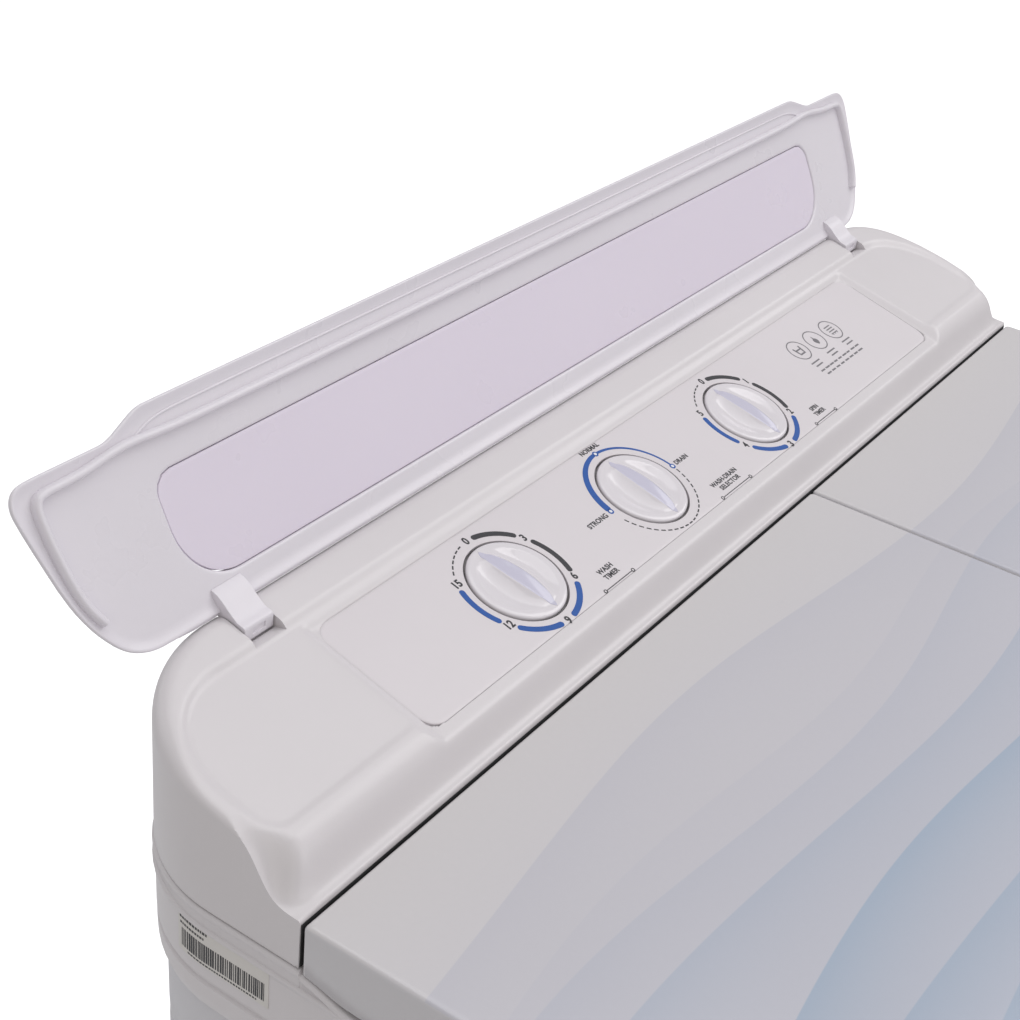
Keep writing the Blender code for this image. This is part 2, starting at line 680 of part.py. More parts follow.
def build_lid(name, x0, x1):
    def ring(inset, z=None):
        """Loop at level z, or along the skirt edge when z is None."""
        return [(x, y, skirt_edge(x, y) if z is None else z)
                for x, y in lid_outline(x0, x1, inset)]

    shell = loft([ring(3.0, DECK_Z - 3.0), ring(2.6), ring(0.0), ring(0.0, DECK_Z - 2.0),
                  ring(0.7, DECK_Z - 0.5), ring(2.2, DECK_Z)])
    y, z = LID_AXIS_Y, LID_AXIS_Z
    lid = add_object(name, shell, "lid", (0, y, z))
    ear_left, ear_right = LID_EARS[name]
    for x, side in ((ear_left, 1), (ear_right, -1)):
        # hinge barrel beside the ear, its bore, then room for the ear
        b0, b1 = sorted((x + side * 4.5, x + side * 12.5))
        join(lid, cylinder((b0, y, z), 4.6, b1 - b0, 12, "X"))
        cut(lid, cylinder((b0 - 2, y, z), HINGE_BORE_R, b1 - b0 + 4, 10, "X"))
        cut(lid, box((x - 4.5, y - 9, DECK_Z - 20), (x + 4.5, y + 12, DECK_Z - 2.9)))
    rod = cylinder((ear_left - 3.8, y, z), 1.35, ear_right - ear_left + 7.6, 10, "X")
    add_object(name + "_hinge_rod", rod, "steel")


# ---- cabinet, back cover, base, feet ------------------------------------
def build_cabinet():
    # (wall depth, z), up the outside and down the inside
    stations = ((0, CABINET_BOTTOM), (0, 400), (0, CABINET_TOP),
                (3, CABINET_TOP), (3, 400), (3, CABINET_BOTTOM))
    loops = plan_loops([(depth + cabinet_inset(z), z) for depth, z in stations])
    cabinet = add_object("cabinet_body", loft(loops, closed=True), "white2")
    cut(cabinet, box((-300, BACK_Y - 40, 140), (300, BACK_Y + 10, 560)))


def build_back_cover():
    corners = ((-312, 128), (312, 128), (312, 572), (-312, 572))      # (x, z)
    sheet = loft([[(x, BACK_Y - cabinet_inset(z) + dy, z) for x, z in corners]
                  for dy in (1.3, 2.9)])
    back = add_object("back_cover", sheet, "zinc")
    cut(back, cylinder((HOSE_X, BACK_Y - 60, HOSE_EXIT_Z), 15.0, 80, 14, "Y"))


def build_base():
    stations = ((22.0, 30), (18.2, 59.7), (24.0, 59.7), (28.0, 34))   # (inset, z)
    add_object("base_tray", loft(plan_loops(stations)), "base")
    profile = [(0, 0), (20, 0), (21, 10), (14, 14), (14, 29.7), (0, 29.7)]
    for row, y in (("front", LID_FRONT + 66), ("rear", SEAM_Y + 70)):
        for side, x in (("left", -360), ("right", 360)):
            add_object("foot_%s_%s" % (row, side), lathe(x, y, profile, 14), "rubber")


# ---- wash side ----------------------------------------------------------
def tub_loop(z, inset):
    """Wash tub section; the walls draw in by 14 mm towards the bottom."""
    t = (z - TUB_BOTTOM) / (892.0 - TUB_BOTTOM)
    d = inset + 14.0 * (1 - t)
    return rounded_rect(WASH_CX, WASH_CY, z, WASH_HX - d, WASH_HY - d, 46 - inset, 5)


def build_wash_tub():
    shell = loft([
        rounded_rect(WASH_CX, WASH_CY, TUB_BOTTOM, 198, 146, 40, 5),
        tub_loop(TUB_BOTTOM + 20, 0), tub_loop(885.0, 4.6), tub_loop(TUB_TOP, 4.6),
        tub_loop(TUB_TOP, 7.2), tub_loop(TUB_BOTTOM + 22, 3.0),
        rounded_rect(WASH_CX, WASH_CY, TUB_BOTTOM + 3, 196, 144, 38, 5),
    ])
    tub = add_object("wash_tub", shell, "tub")
    # bearing hole and drain outlet
    cut(tub, cylinder((WASH_CX, WASH_CY, TUB_BOTTOM - 10), 21.0, 30, 24))
    cut(tub, cylinder((DRAIN_X, DRAIN_Y, TUB_BOTTOM - 10), 13.0, 30, 16))


def build_pulsator():
    profile = [(0, 419), (110, 419), (138, 424), (126, 429), (56, 434), (0, 452)]
    pulsator = add_object("pulsator", lathe(WASH_CX, WASH_CY, profile, 24), "blue",
                          (WASH_CX, WASH_CY, 430))
    # vane foot and crest, (along, across, z) from the pulsator axis
    vane = (((28, -6, 424), (126, -4, 424), (126, 4, 424), (28, 6, 424)),
            ((26, -3, 454), (120, -2, 442), (120, 2, 442), (26, 3, 454)))
    for i in range(5):
        angle = 2 * pi * i / 5
        join(pulsator, loft([[(*turned(WASH_CX, WASH_CY, angle, along, across), z)
                              for along, across, z in loop] for loop in vane]))
    cut(pulsator, cylinder((WASH_CX, WASH_CY, 410), 6.3, 25, 12))


def build_wash_drive():
    """Pulsator shaft with its bearing, the two pulleys and the belt."""
    shaft_base = (WASH_CX, WASH_CY, 264)
    add_object("pulsator_shaft", cylinder(shaft_base, 6.0, 170.0, 12), "steel", shaft_base)
    housing = [(6.4, 318), (38, 318), (38, 332), (20, 340), (20, 398), (62, 400), (62, 407.6),
               (20.4, 407.6), (20.4, 416), (6.4, 416)]
    add_object("pulsator_bearing_housing", lathe_ring(WASH_CX, WASH_CY, housing, 18), "alu")
    pulley = [(6.3, BELT_Z - 14), (22, BELT_Z - 14), (22, BELT_Z - 5), (PULLEY_R, BELT_Z - 6),
              (PULLEY_R - 5, BELT_Z), (PULLEY_R, BELT_Z + 6), (22, BELT_Z + 5),
              (22, BELT_Z + 18), (6.3, BELT_Z + 18)]
    add_object("wash_pulley", lathe_ring(WASH_CX, WASH_CY, pulley, 24), "alu",
               (WASH_CX, WASH_CY, BELT_Z))
    pinion = [(5.3, BELT_Z - 8), (PINION_R, BELT_Z - 7), (PINION_R - 5, BELT_Z),
              (PINION_R, BELT_Z + 7), (5.3, BELT_Z + 8)]
    add_object("motor_pulley", lathe_ring(MOTOR_CX, MOTOR_CY, pinion, 16), "alu",
               (MOTOR_CX, MOTOR_CY, BELT_Z))
    inner, outer = belt_path(0.5), belt_path(0.5 + 3.6)
    section = ((outer, BELT_Z - 4.5), (outer, BELT_Z + 4.5), (inner, BELT_Z + 3), (inner, BELT_Z - 3))
    belt = loft([[(x, y, z) for x, y in path] for path, z in section], closed=True)
    add_object("drive_belt", belt, "rubber")


def belt_path(clearance, wash_steps=16, motor_steps=10):
    """Belt loop (x, y) round the two pulleys, a clearance outside them."""
    wash_r, motor_r = PULLEY_R + clearance, PINION_R + clearance
    dx, dy = MOTOR_CX - WASH_CX, MOTOR_CY - WASH_CY
    toward_motor = atan2(dy, dx)
    tangent = acos((wash_r - motor_r) / sqrt(dx * dx + dy * dy))
    points = []
    for i in range(wash_steps + 1):
        angle = toward_motor + tangent + (2 * pi - 2 * tangent) * i / wash_steps
        points.append(turned(WASH_CX, WASH_CY, angle, wash_r))
    for i in range(motor_steps + 1):
        angle = toward_motor - tangent + 2 * tangent * i / motor_steps
        points.append(turned(MOTOR_CX, MOTOR_CY, angle, motor_r))
    return points


def build_wash_motor():
    profile = [(0, 136), (32, 136), (34, 144), (62, 148), (62, 228), (34, 232), (30, 242), (0, 242)]
    motor = add_object("wash_motor", lathe(MOTOR_CX, MOTOR_CY, profile, 18), "motor")
    cut(motor, cylinder((MOTOR_CX, MOTOR_CY, 190), 5.4, 60, 12))
    shaft_base = (MOTOR_CX, MOTOR_CY, 191)
    add_object("wash_motor_shaft", cylinder(shaft_base, 5.0, 104.0, 12), "steel", shaft_base)
    # (z, half width)
    stations = ((TRAY_Z, 80), (TRAY_Z + 4, 80), (TRAY_Z + 4.5, 74), (131, 68), (135.7, 68))
    stand = loft([rounded_rect(MOTOR_CX, MOTOR_CY, z, half, half, 12, 2) for z, half in stations])
    bracket = add_object("wash_motor_bracket", stand, "zinc")
    cut(bracket, box((MOTOR_CX - 65, MOTOR_CY - 90, TRAY_Z + 3),
                     (MOTOR_CX + 65, MOTOR_CY + 90, 132.4)))


def build_tub_fittings():
    """Lint filter and overflow guard inside the rear wall of the wash tub."""
    x, y = -250.0, 60.0
    body = loft([rounded_rect(x, y, z, 42, 9, 5, 2) for z in (600, 760)])
    lint_filter = add_object("lint_filter", body, "blue", (x, y, 680))
    cut(lint_filter, box((x - 34, 48, 608), (x + 34, 65, 740)))
    x = -120.0
    body = loft([rounded_rect(x, 58.0, z, 34, 8, 5, 2) for z in (470, 850)])
    guard = add_object("overflow_guard", body, "white2")
    cut(guard, box((x - 28, 54, 440), (x + 28, 63, 843)))
    for i in range(4):                     # slots through the front wall
        cut(guard, box((x - 20, 44, 700 + 34 * i), (x + 20, 58, 714 + 34 * i)))


def build_drain_valve():
    body = [(12.4, 350), (26, 350), (26, 396), (30, 398), (30, 407.6), (12.4, 407.6)]
    add_object("drain_valve_body", lathe_ring(DRAIN_X, DRAIN_Y, body, 14), "base")
    plunger = [(0, 330), (4, 330), (4, 362), (11.6, 364), (11.6, 384), (0, 388)]
    add_object("drain_valve_plunger", lathe(DRAIN_X, DRAIN_Y, plunger, 12), "rubber",
               (DRAIN_X, DRAIN_Y, 360))


# ---- spin side ----------------------------------------------------------
def build_spin_outer_tub():
    bottom, top = SPIN_BOTTOM, DECK_Z - 37.4
    profile = [(44, bottom), (OUTER_R - 10, bottom), (OUTER_R, bottom + 10), (OUTER_R, 880),
               (OUTER_R - 4.4, 884), (OUTER_R - 4.4, top), (OUTER_R - 7, top),
               (OUTER_R - 3.5, bottom + 12), (OUTER_R - 12, bottom + 3), (44, bottom + 3)]
    add_object("spin_outer_tub", lathe_ring(SPIN_CX, SPIN_CY, profile, 28), "tub")


def build_spin_basket():
    profile = [(0, 412), (BASKET_R - 8, 412), (BASKET_R, 420), (BASKET_R, 800),
               (BASKET_R - 16, 812), (BASKET_R - 17, 810.4), (BASKET_R - 1.5, 799),
               (BASKET_R - 1.5, 421), (BASKET_R - 9, 413.6), (0, 413.6)]
    basket = add_object("spin_basket", lathe(SPIN_CX, SPIN_CY, profile, 24), "steel",
                        (SPIN_CX, SPIN_CY, 412))
    for row in range(2):                   # each drill goes through both walls
        for j in range(3):
            angle = pi * (j / 3.0) + 0.18 * row
            drill = cylinder((-200, 0, 0), 5.0, 400, 6, "X")
            for vert in drill.verts:
                x, y = turned(SPIN_CX, SPIN_CY, angle, vert.co.x, vert.co.y)
                vert.co = Vector((x, y, 520 + 150 * row + vert.co.z))
            cut(basket, drill)
    cut(basket, cylinder((SPIN_CX, SPIN_CY, 400), 8.3, 30, 12))


def build_spin_shaft_parts():
    shaft_base = (SPIN_CX, SPIN_CY, 262)
    add_object("spin_shaft", cylinder(shaft_base, 8.0, 166.0, 12), "steel", shaft_base)
    # bellows closing the bottom of the outer tub round the shaft bush
    bellows = [(12.4, 372), (20, 372), (26, 380), (34, 376), (43.4, 381), (43.4, 391),
               (52, 391.4), (52, 393.6), (40, 393.6), (40, 383), (34, 379.4), (26, 383.4),
               (18.4, 376), (12.4, 376)]
    add_object("bellows_seal", lathe_ring(SPIN_CX, SPIN_CY, bellows, 16), "rubber")
    bush = [(8.4, 352), (16, 352), (16, 366), (12.0, 368), (12.0, 396), (8.4, 396)]
    add_object("spin_shaft_bush", lathe_ring(SPIN_CX, SPIN_CY, bush, 14), "brass")
    drum = [(8.3, 262), (18, 262), (18, 270), (64, 270), (70, 266), (70, 292), (64, 292),
            (62, 278), (18, 278), (18, 296), (8.3, 296)]
    add_object("brake_drum", lathe_ring(SPIN_CX, SPIN_CY, drum, 20), "alu",
               (SPIN_CX, SPIN_CY, 270))


def build_spin_motor():
    """Motor under the brake drum, with its coupling and three mounting ears."""
    profile = [(0, 112), (38, 112), (40, 122), (74, 127), (74, 218), (40, 224), (36, 236), (0, 236)]
    motor = add_object("spin_motor", lathe(SPIN_CX, SPIN_CY, profile, 18), "motor")
    cut(motor, cylinder((SPIN_CX, SPIN_CY, 180), 6.4, 70, 12))
    coupling = [(0, 181), (6, 181), (6, 240), (20, 240), (20, 256), (12, 258), (12, 261.6),
                (0, 261.6)]
    add_object("shaft_coupling", lathe(SPIN_CX, SPIN_CY, coupling, 12), "steel",
               (SPIN_CX, SPIN_CY, 250))
    ear = ((66, -16), (108, -14), (108, 14), (66, 16))      # (along, across)
    for angle in MOUNT_ANGLES:
        join(motor, prism_z([turned(SPIN_CX, SPIN_CY, angle, *point) for point in ear], 128, 134))


def build_mount_springs():
    """Coil springs from the base tray up to the motor ears."""
    turns, wire_r, coil_r = 3.0, 2.4, 13.0
    bottom, top = TRAY_Z + 2.8, 125.0
    steps = int(turns * 8)
    for k, mount_angle in enumerate(MOUNT_ANGLES):
        cx, cy = turned(SPIN_CX, SPIN_CY, mount_angle, MOUNT_R)
        path = []
        for i in range(steps + 1):
            t = i / steps
            angle = 2 * pi * turns * t
            path.append((*turned(cx, cy, angle, coil_r), bottom + (top - bottom) * t))
        add_object("mount_spring_%d" % (k + 1), pipe(path, wire_r, 4), "steel")


def build_brake():
    """Brake arm with a curved shoe beside the drum, pivoting on a post."""
    px, py = turned(SPIN_CX, SPIN_CY, SHOE_ANGLE, 104.5, -62.0)
    post_profile = [(0, TRAY_Z), (14, TRAY_Z), (14, 40), (7, 46), (7, 268), (4, 270), (4, 294),
                    (0, 294)]
    add_object("brake_pivot_post", lathe(px, py, post_profile, 10), "zinc")
    spread = [radians(12 - i * 6.0) for i in range(5)]
    shoe_outline = [turned(SPIN_CX, SPIN_CY, SHOE_ANGLE + a, 74.5) for a in spread]
    shoe_outline += [turned(SPIN_CX, SPIN_CY, SHOE_ANGLE - a, 84.0) for a in spread]
    arm = add_object("brake_arm", prism_z(shoe_outline, 272, 290), "zinc", (px, py, 280))
    shoe = Vector((*turned(SPIN_CX, SPIN_CY, SHOE_ANGLE, 81), 0))
    post = Vector((px, py, 0))
    along = (post - shoe).normalized()
    across = Vector((-along.y, along.x, 0))
    lever = [shoe + across * 3 - along * 6, shoe - across * 1 - along * 6,
             post - across * 9 + along * 9, post + along * 66 - across * 4,
             post + along * 66 + across * 4, post + across * 9 + along * 9]
    join(arm, prism_z([(p.x, p.y) for p in lever], 274, 288))
    cut(arm, cylinder((px, py, 260), 4.4, 50, 14))


def build_basket_cover():
    """Loose safety cover that sits on the basket mouth."""
    profile = [(0, 806), (104, 806), (107, 812.4), (117, 812.4), (117, 815), (0, 815)]
    cover = add_object("basket_cover", lathe(SPIN_CX, SPIN_CY, profile, 22), "blue",
                       (SPIN_CX, SPIN_CY, 812))
    for k in range(4):
        x, y = turned(SPIN_CX, SPIN_CY, pi / 4 + k * pi / 2, 60)
        cut(cover, cylinder((x, y, 800), 16.0, 20, 8))


# ---- services -----------------------------------------------------------
def build_drain_hose():
    """Hose from the drain valve down and out through the back cover."""
    x, y, out_z = HOSE_X, DRAIN_Y, HOSE_EXIT_Z
    path = [(DRAIN_X + 26.4, y, 374), (DRAIN_X + 48, y, 374), (DRAIN_X + 60, y + 6, 372),
            (x, y + 20, 366), (x, y + 40, 345), (x, y + 60, 300), (x, y + 80, 220),
            (x, y + 104, 172), (x, y + 130, out_z), (x, BACK_Y + 8, out_z),
            (x, BACK_Y + 22, 150), (x, BACK_Y + 27, 130), (x, BACK_Y + 27, 44)]
    add_object("drain_hose", pipe(path, 13, 8, bore=10.5), "hose")


def build_small_parts():
    add_object("run_capacitor", cylinder((120, 150, TRAY_Z), 22, 86, 16), "alu")
    build_drain_hose()
    low, high = DECK_Z - 30, DECK_Z + 8
    inlet = [(7, low), (13, low), (13, high), (7, high)]
    add_object("water_inlet_left", lathe_ring(-330, SEAM_Y + 64, inlet, 14), "hose")
    label = from_seam([(18.7, -60), (72.7, -60), (72.7, -42), (18.7, -42)])
    add_object("side_label", prism_x(label, -HALF_W + 0.3, -HALF_W), "label")
    screw_z = 136
    screw_y = BACK_Y - cabinet_inset(screw_z) + 3.3
    for k, x in enumerate((-300, 300)):
        screw = lathe(0, 0, [(0, 0), (5, 0), (5, 1.4), (0, 3.2)], 10)
        for vert in screw.verts:           # turn the head to face the rear
            vert.co = Vector((x + vert.co.x, screw_y + vert.co.z, screw_z + vert.co.y))
        add_object("back_screw_%d" % (k + 1), screw, "zinc")


# ---- build --------------------------------------------------------------
for old_object in list(bpy.data.objects):
    bpy.data.objects.remove(old_object, do_unlink=True)

build_console()
build_panel()
build_cover()
build_controls()
build_top_frame()
build_lid("wash_lid", -HALF_W, SEAM_X - 0.6)
build_lid("spin_lid", SEAM_X + 0.6, HALF_W)
build_cabinet()
build_back_cover()
build_base()
build_wash_tub()
build_pulsator()
build_wash_drive()
build_wash_motor()
build_tub_fittings()
build_drain_valve()
build_spin_outer_tub()
build_spin_basket()
build_spin_shaft_parts()
build_spin_motor()
build_mount_springs()
build_brake()
build_basket_cover()
build_small_parts()
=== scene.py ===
"""Visual model of a twin tub washing machine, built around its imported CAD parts.

x runs across the machine (left is -x), y from the front to the console at the
back, z up from the floor. The wash side is on the left, the spin side on the
right. Shapes are given in millimetres and scaled to metres when a mesh is made.
"""
from math import atan2, cos, pi, radians, sin, sqrt, tan

import bmesh
import bpy
import numpy as np
from mathutils import Matrix, Vector


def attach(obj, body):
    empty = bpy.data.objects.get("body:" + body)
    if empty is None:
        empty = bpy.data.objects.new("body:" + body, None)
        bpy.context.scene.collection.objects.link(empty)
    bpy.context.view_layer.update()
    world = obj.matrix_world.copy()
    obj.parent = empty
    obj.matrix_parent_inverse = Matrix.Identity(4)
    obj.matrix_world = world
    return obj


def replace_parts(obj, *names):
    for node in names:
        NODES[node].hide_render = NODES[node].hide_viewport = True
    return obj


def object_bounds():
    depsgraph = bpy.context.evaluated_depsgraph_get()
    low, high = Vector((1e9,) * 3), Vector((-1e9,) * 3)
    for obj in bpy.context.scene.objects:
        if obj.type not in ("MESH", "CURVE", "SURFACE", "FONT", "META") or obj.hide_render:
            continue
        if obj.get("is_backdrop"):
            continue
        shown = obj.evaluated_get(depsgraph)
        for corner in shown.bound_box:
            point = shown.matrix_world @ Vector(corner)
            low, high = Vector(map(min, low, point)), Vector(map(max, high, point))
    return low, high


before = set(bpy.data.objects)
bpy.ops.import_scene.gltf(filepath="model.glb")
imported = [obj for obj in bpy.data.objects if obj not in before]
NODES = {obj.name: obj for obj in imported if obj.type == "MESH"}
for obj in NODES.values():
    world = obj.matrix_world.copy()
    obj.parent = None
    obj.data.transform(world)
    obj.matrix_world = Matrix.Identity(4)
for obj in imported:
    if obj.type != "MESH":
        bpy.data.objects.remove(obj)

CAD_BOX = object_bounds()
MM = 0.001                        # metres in a millimetre

# ------------------------------------------------------------ driving dimensions
HALF_W = 430.0
DECK_Z = 930.0                    # top of the closed lids
FRAME_Z = DECK_Z - 38.5           # flat top of the frame below the lids
CONSOLE_Y, CONSOLE_D = 97.15, 135.0
BACK_Y = CONSOLE_Y + CONSOLE_D
FRONT_R = 26.0                    # plan radius of the front corners
REAR_R = (80.0, 57.0)             # plan radius of the rear corners, left and right

LID_FRONT, LID_REAR = CONSOLE_Y - 378.0, CONSOLE_Y - 1.6
LID_SEAM_X = 75.0                 # between the two lids
LID_AXIS = (CONSOLE_Y - 10.0, DECK_Z - 6.0)     # y, z
LID_HINGE_X = {"wash": (-395.0, 40.0), "spin": (110.0, 395.0)}

RIM_SLOPE = tan(radians(15.5))    # console rim, rising to the back
PANEL_ANGLE = radians(15.0)
PANEL_SIN, PANEL_COS = sin(PANEL_ANGLE), cos(PANEL_ANGLE)
PANEL_Y, PANEL_Z = 20.5, 22.0     # front edge: behind the console front, above the deck
PANEL_X, PANEL_HALF = 0.95, 309.05
PANEL_DEPTH = 82.0 * PANEL_COS    # in plan
PANEL_FACE = 0.35                 # top of the insert above the panel plane
KNOB_U, KNOB_V = (-184.9, -50.8, 82.8), 38.2

COVER_SIN, COVER_COS = sin(radians(62.0)), cos(radians(62.0))
COVER_ROOT = (CONSOLE_Y + 123.0, DECK_Z + 55.5)     # y, z
COVER_AXIS = (CONSOLE_Y + 117.0, DECK_Z + 50.5)     # y, z
LUG_X = (-331.0, 358.0)
LUG_SLOT = 11.0                   # half width of the notch for a lug

WASH_CX, WASH_CY, WASH_HX, WASH_HY = -172.0, -85.0, 220.0, 168.0
TUB_Z = 408.0                     # underside of the wash tub
DRAIN_X, DRAIN_Y = WASH_CX + 150.0, WASH_CY + 85.0
HOSE_X, HOSE_Z = DRAIN_X + 66.0, 160.0              # where the hose leaves the back
SPIN_CX, SPIN_CY, BASKET_R, OUTER_R = 250.0, -90.0, 128.0, 150.0


# --------------------------------------------------------------------- materials
def srgb(*rgb):
    """Linear colour from 0-255 sRGB values."""
    return tuple(c / 255.0 / 12.92 if c <= 10.3 else ((c / 255.0 + 0.055) / 1.055) ** 2.4
                 for c in rgb)


def tone(rgb, gain, lift=0.0):
    return tuple(min(1.0, c * gain + lift) for c in rgb)


class Shader:
    """A new material with short calls for building its nodes."""

    def __init__(self, name):
        self.material = bpy.data.materials.new(name)
        self.material.use_nodes = True
        self.tree = self.material.node_tree
        self.surface = self.tree.nodes["Principled BSDF"]
        self.coords = self.node("ShaderNodeTexCoord").outputs["Object"]

    def node(self, kind, **settings):
        node = self.tree.nodes.new(kind)
        for key, value in settings.items():
            setattr(node, key, value)
        return node

    def feed(self, socket, value):
        """Give a socket a number, a colour or a link."""
        if isinstance(value, (int, float)):
            socket.default_value = value
        elif isinstance(value, tuple):
            socket.default_value = (*value, 1.0)
        else:
            self.tree.links.new(value, socket)

    def set(self, name, value):
        self.feed(self.surface.inputs[name], value)

    def math(self, operation, *values, clamp=False):
        node = self.node("ShaderNodeMath", operation=operation, use_clamp=clamp)
        for socket, value in zip(node.inputs, values):
            self.feed(socket, value)
        return node.outputs[0]

    def noise(self, scale, detail=2.0, rough=0.5, stretch=None):
        coords = self.coords
        if stretch:
            mapping = self.node("ShaderNodeMapping")
            mapping.inputs["Scale"].default_value = stretch
            self.feed(mapping.inputs["Vector"], coords)
            coords = mapping.outputs[0]
        node = self.node("ShaderNodeTexNoise")
        for key, value in (("Scale", scale), ("Detail", detail), ("Roughness", rough),
                           ("Vector", coords)):
            self.feed(node.inputs[key], value)
        return node.outputs["Fac"]

    def mix(self, factor, first, second):
        node = self.node("ShaderNodeMix", data_type='RGBA')
        self.feed(node.inputs["Factor"], factor)
        self.feed(node.inputs[6], first)
        self.feed(node.inputs[7], second)
        return node.outputs[2]

    def remap(self, value, low, high):
        node = self.node("ShaderNodeMapRange")
        node.inputs["To Min"].default_value = low
        node.inputs["To Max"].default_value = high
        self.feed(node.inputs[0], value)
        return node.outputs[0]

    def bump(self, height, distance, strength, under=None):
        node = self.node("ShaderNodeBump")
        self.feed(node.inputs["Distance"], distance)
        self.feed(node.inputs["Strength"], strength)
        self.feed(node.inputs["Height"], height)
        if under is not None:
            self.feed(node.inputs["Normal"], under)
        return node.outputs[0]

    def coat(self, weight, rough):
        self.set("Coat Weight", weight)
        self.set("Coat Roughness", rough)

    def scatter(self, weight, radius):
        self.set("Subsurface Weight", weight)
        self.surface.inputs["Subsurface Radius"].default_value = radius


def plastic(name, rgb, rough, drift=0.025, grain=0.00003, grain_scale=900.0, coat=0.0,
            scatter=0.0, corner_shade=0.0):
    """Moulded plastic: slow colour drift, fine grain, patchy gloss, painted shade in corners."""
    shader = Shader(name)
    base = srgb(*rgb)
    slow = shader.noise(scale=7.0, detail=3.0, rough=0.55)
    color = shader.mix(slow, tone(base, 1 - 2.2 * drift), tone(base, 1 + 1.2 * drift))
    fine = shader.noise(scale=160.0, detail=4.0, rough=0.6)
    color = shader.mix(shader.remap(fine, low=0.0, high=0.06), color, tone(base, 0.8))
    # painted shade: the colour darkens where ambient occlusion finds surfaces close by, in corners
    # and recesses
    if corner_shade > 0:
        occlusion = shader.node("ShaderNodeAmbientOcclusion", samples=4)
        occlusion.inputs["Distance"].default_value = 0.006
        corners = shader.math('SUBTRACT', 1.0, occlusion.outputs["AO"], clamp=True)
        amount = shader.math('MULTIPLY', corners, corner_shade, clamp=True)
        color = shader.mix(amount, color, tone(base, 0.45))
    shader.set("Base Color", color)
    gloss = shader.noise(scale=24.0, detail=3.0)
    shader.set("Roughness", shader.remap(gloss, low=rough - 0.05, high=rough + 0.06))
    waves = shader.bump(shader.noise(scale=38.0), distance=0.00012, strength=0.35)
    shader.set("Normal", shader.bump(shader.noise(scale=grain_scale), distance=grain,
                                     strength=0.6, under=waves))
    if coat:
        shader.coat(weight=coat, rough=0.06)
    if scatter:
        shader.scatter(weight=scatter, radius=(0.004, 0.0038, 0.0036))
    return shader.material


def metal(name, rgb, rough, brush=(1, 1, 40), brush_scale=60.0, scratch=0.00004, stain=0.15):
    """Worked metal: directional brushing, soft stains, uneven polish."""
    shader = Shader(name)
    base = srgb(*rgb)
    brushing = shader.noise(scale=brush_scale, detail=5.0, rough=0.6, stretch=brush)
    stains = shader.noise(scale=14.0, detail=4.0, rough=0.6)
    color = shader.mix(shader.remap(brushing, low=-0.1, high=0.9), tone(base, 0.82), base)
    amount = shader.math('MULTIPLY', shader.remap(stains, low=-0.6, high=1.0), stain, clamp=True)
    shader.set("Base Color", shader.mix(amount, color, tone(base, 0.55)))
    shader.set("Metallic", 1.0)
    shader.set("Roughness", shader.math(
        'ADD', shader.remap(brushing, low=rough - 0.06, high=rough + 0.08),
        shader.remap(stains, low=-0.05, high=0.1)))
    shader.set("Normal", shader.bump(brushing, distance=scratch, strength=0.5))
    return shader.material


def rubber(name, rgb, rough=0.72):
    shader = Shader(name)
    base = srgb(*rgb)
    fine = shader.noise(scale=700.0, detail=4.0, rough=0.7)
    slow = shader.noise(scale=18.0, detail=3.0)
    color = shader.mix(shader.remap(slow, low=0.0, high=1.0), tone(base, 0.75),
                       tone(base, 1.35, lift=0.004))
    color = shader.mix(shader.remap(fine, low=0.0, high=0.2), color, tone(base, 2, lift=0.02))
    shader.set("Base Color", color)
    shader.set("Roughness", shader.remap(slow, low=rough - 0.08, high=rough + 0.1))
    shader.set("Normal", shader.bump(fine, distance=0.00008, strength=0.7))
    return shader.material


def enamel(name, rgb, rough=0.4):
    """Painted motor casing with orange peel and dull spots."""
    shader = Shader(name)
    base = srgb(*rgb)
    peel = shader.noise(scale=260.0)
    spots = shader.noise(scale=48.0, detail=5.0, rough=0.65)
    shader.set("Base Color", shader.mix(shader.remap(spots, low=-0.3, high=0.9), base,
                                        tone(base, 1.6, lift=0.01)))
    shader.set("Metallic", 0.15)
    shader.set("Roughness", shader.remap(spots, low=rough - 0.12, high=rough + 0.2))
    shader.set("Normal", shader.bump(peel, distance=0.00010, strength=0.6))
    shader.set("Coat Weight", 0.25)
    return shader.material


def ink(name, rgb):
    """Screen-printed ink: slightly uneven density and a dull film."""
    shader = Shader(name)
    base = srgb(*rgb)
    density = shader.noise(scale=420.0, detail=4.0, rough=0.7)
    slow = shader.noise(scale=60.0)
    color = shader.mix(shader.remap(density, low=-0.2, high=0.6), base,
                       tone(base, 1.35, lift=0.006))
    color = shader.mix(shader.remap(slow, low=-0.1, high=0.35), color, tone(base, 0.8))
    shader.set("Base Color", color)
    shader.set("Roughness", shader.remap(slow, low=0.38, high=0.5))
    shader.set("Normal", shader.bump(density, distance=0.00001, strength=0.4))
    return shader.material


# Printed bands on the lids. Each has a cosine front edge:
# mean y from the console front, swing, x of a crest, wave length,
# then colour strength, fade length to the front, hue (0 grey, 1 blue)
BANDS = (
    (-60, 13, -190, 640, 0.42, 60, 0.10), (-103, -9, -110, 420, 0.16, 50, 0.15),
    (-122, -12, -124, 520, 0.34, 45, 0.45), (-154, -13, -50, 650, 0.52, 42, 0.75),
    (-198, 10, -240, 520, 0.80, 38, 1.0), (-238, 8, -330, 560, 0.72, 40, 0.95),
    (-270, 8, -200, 600, 0.75, 42, 0.95), (-307, -10, -80, 620, 0.78, 45, 1.0),
    (-342, 9, -300, 580, 0.66, 40, 0.9))
BAND_GREY, BAND_BLUE = srgb(186, 186, 199), srgb(160, 178, 198)


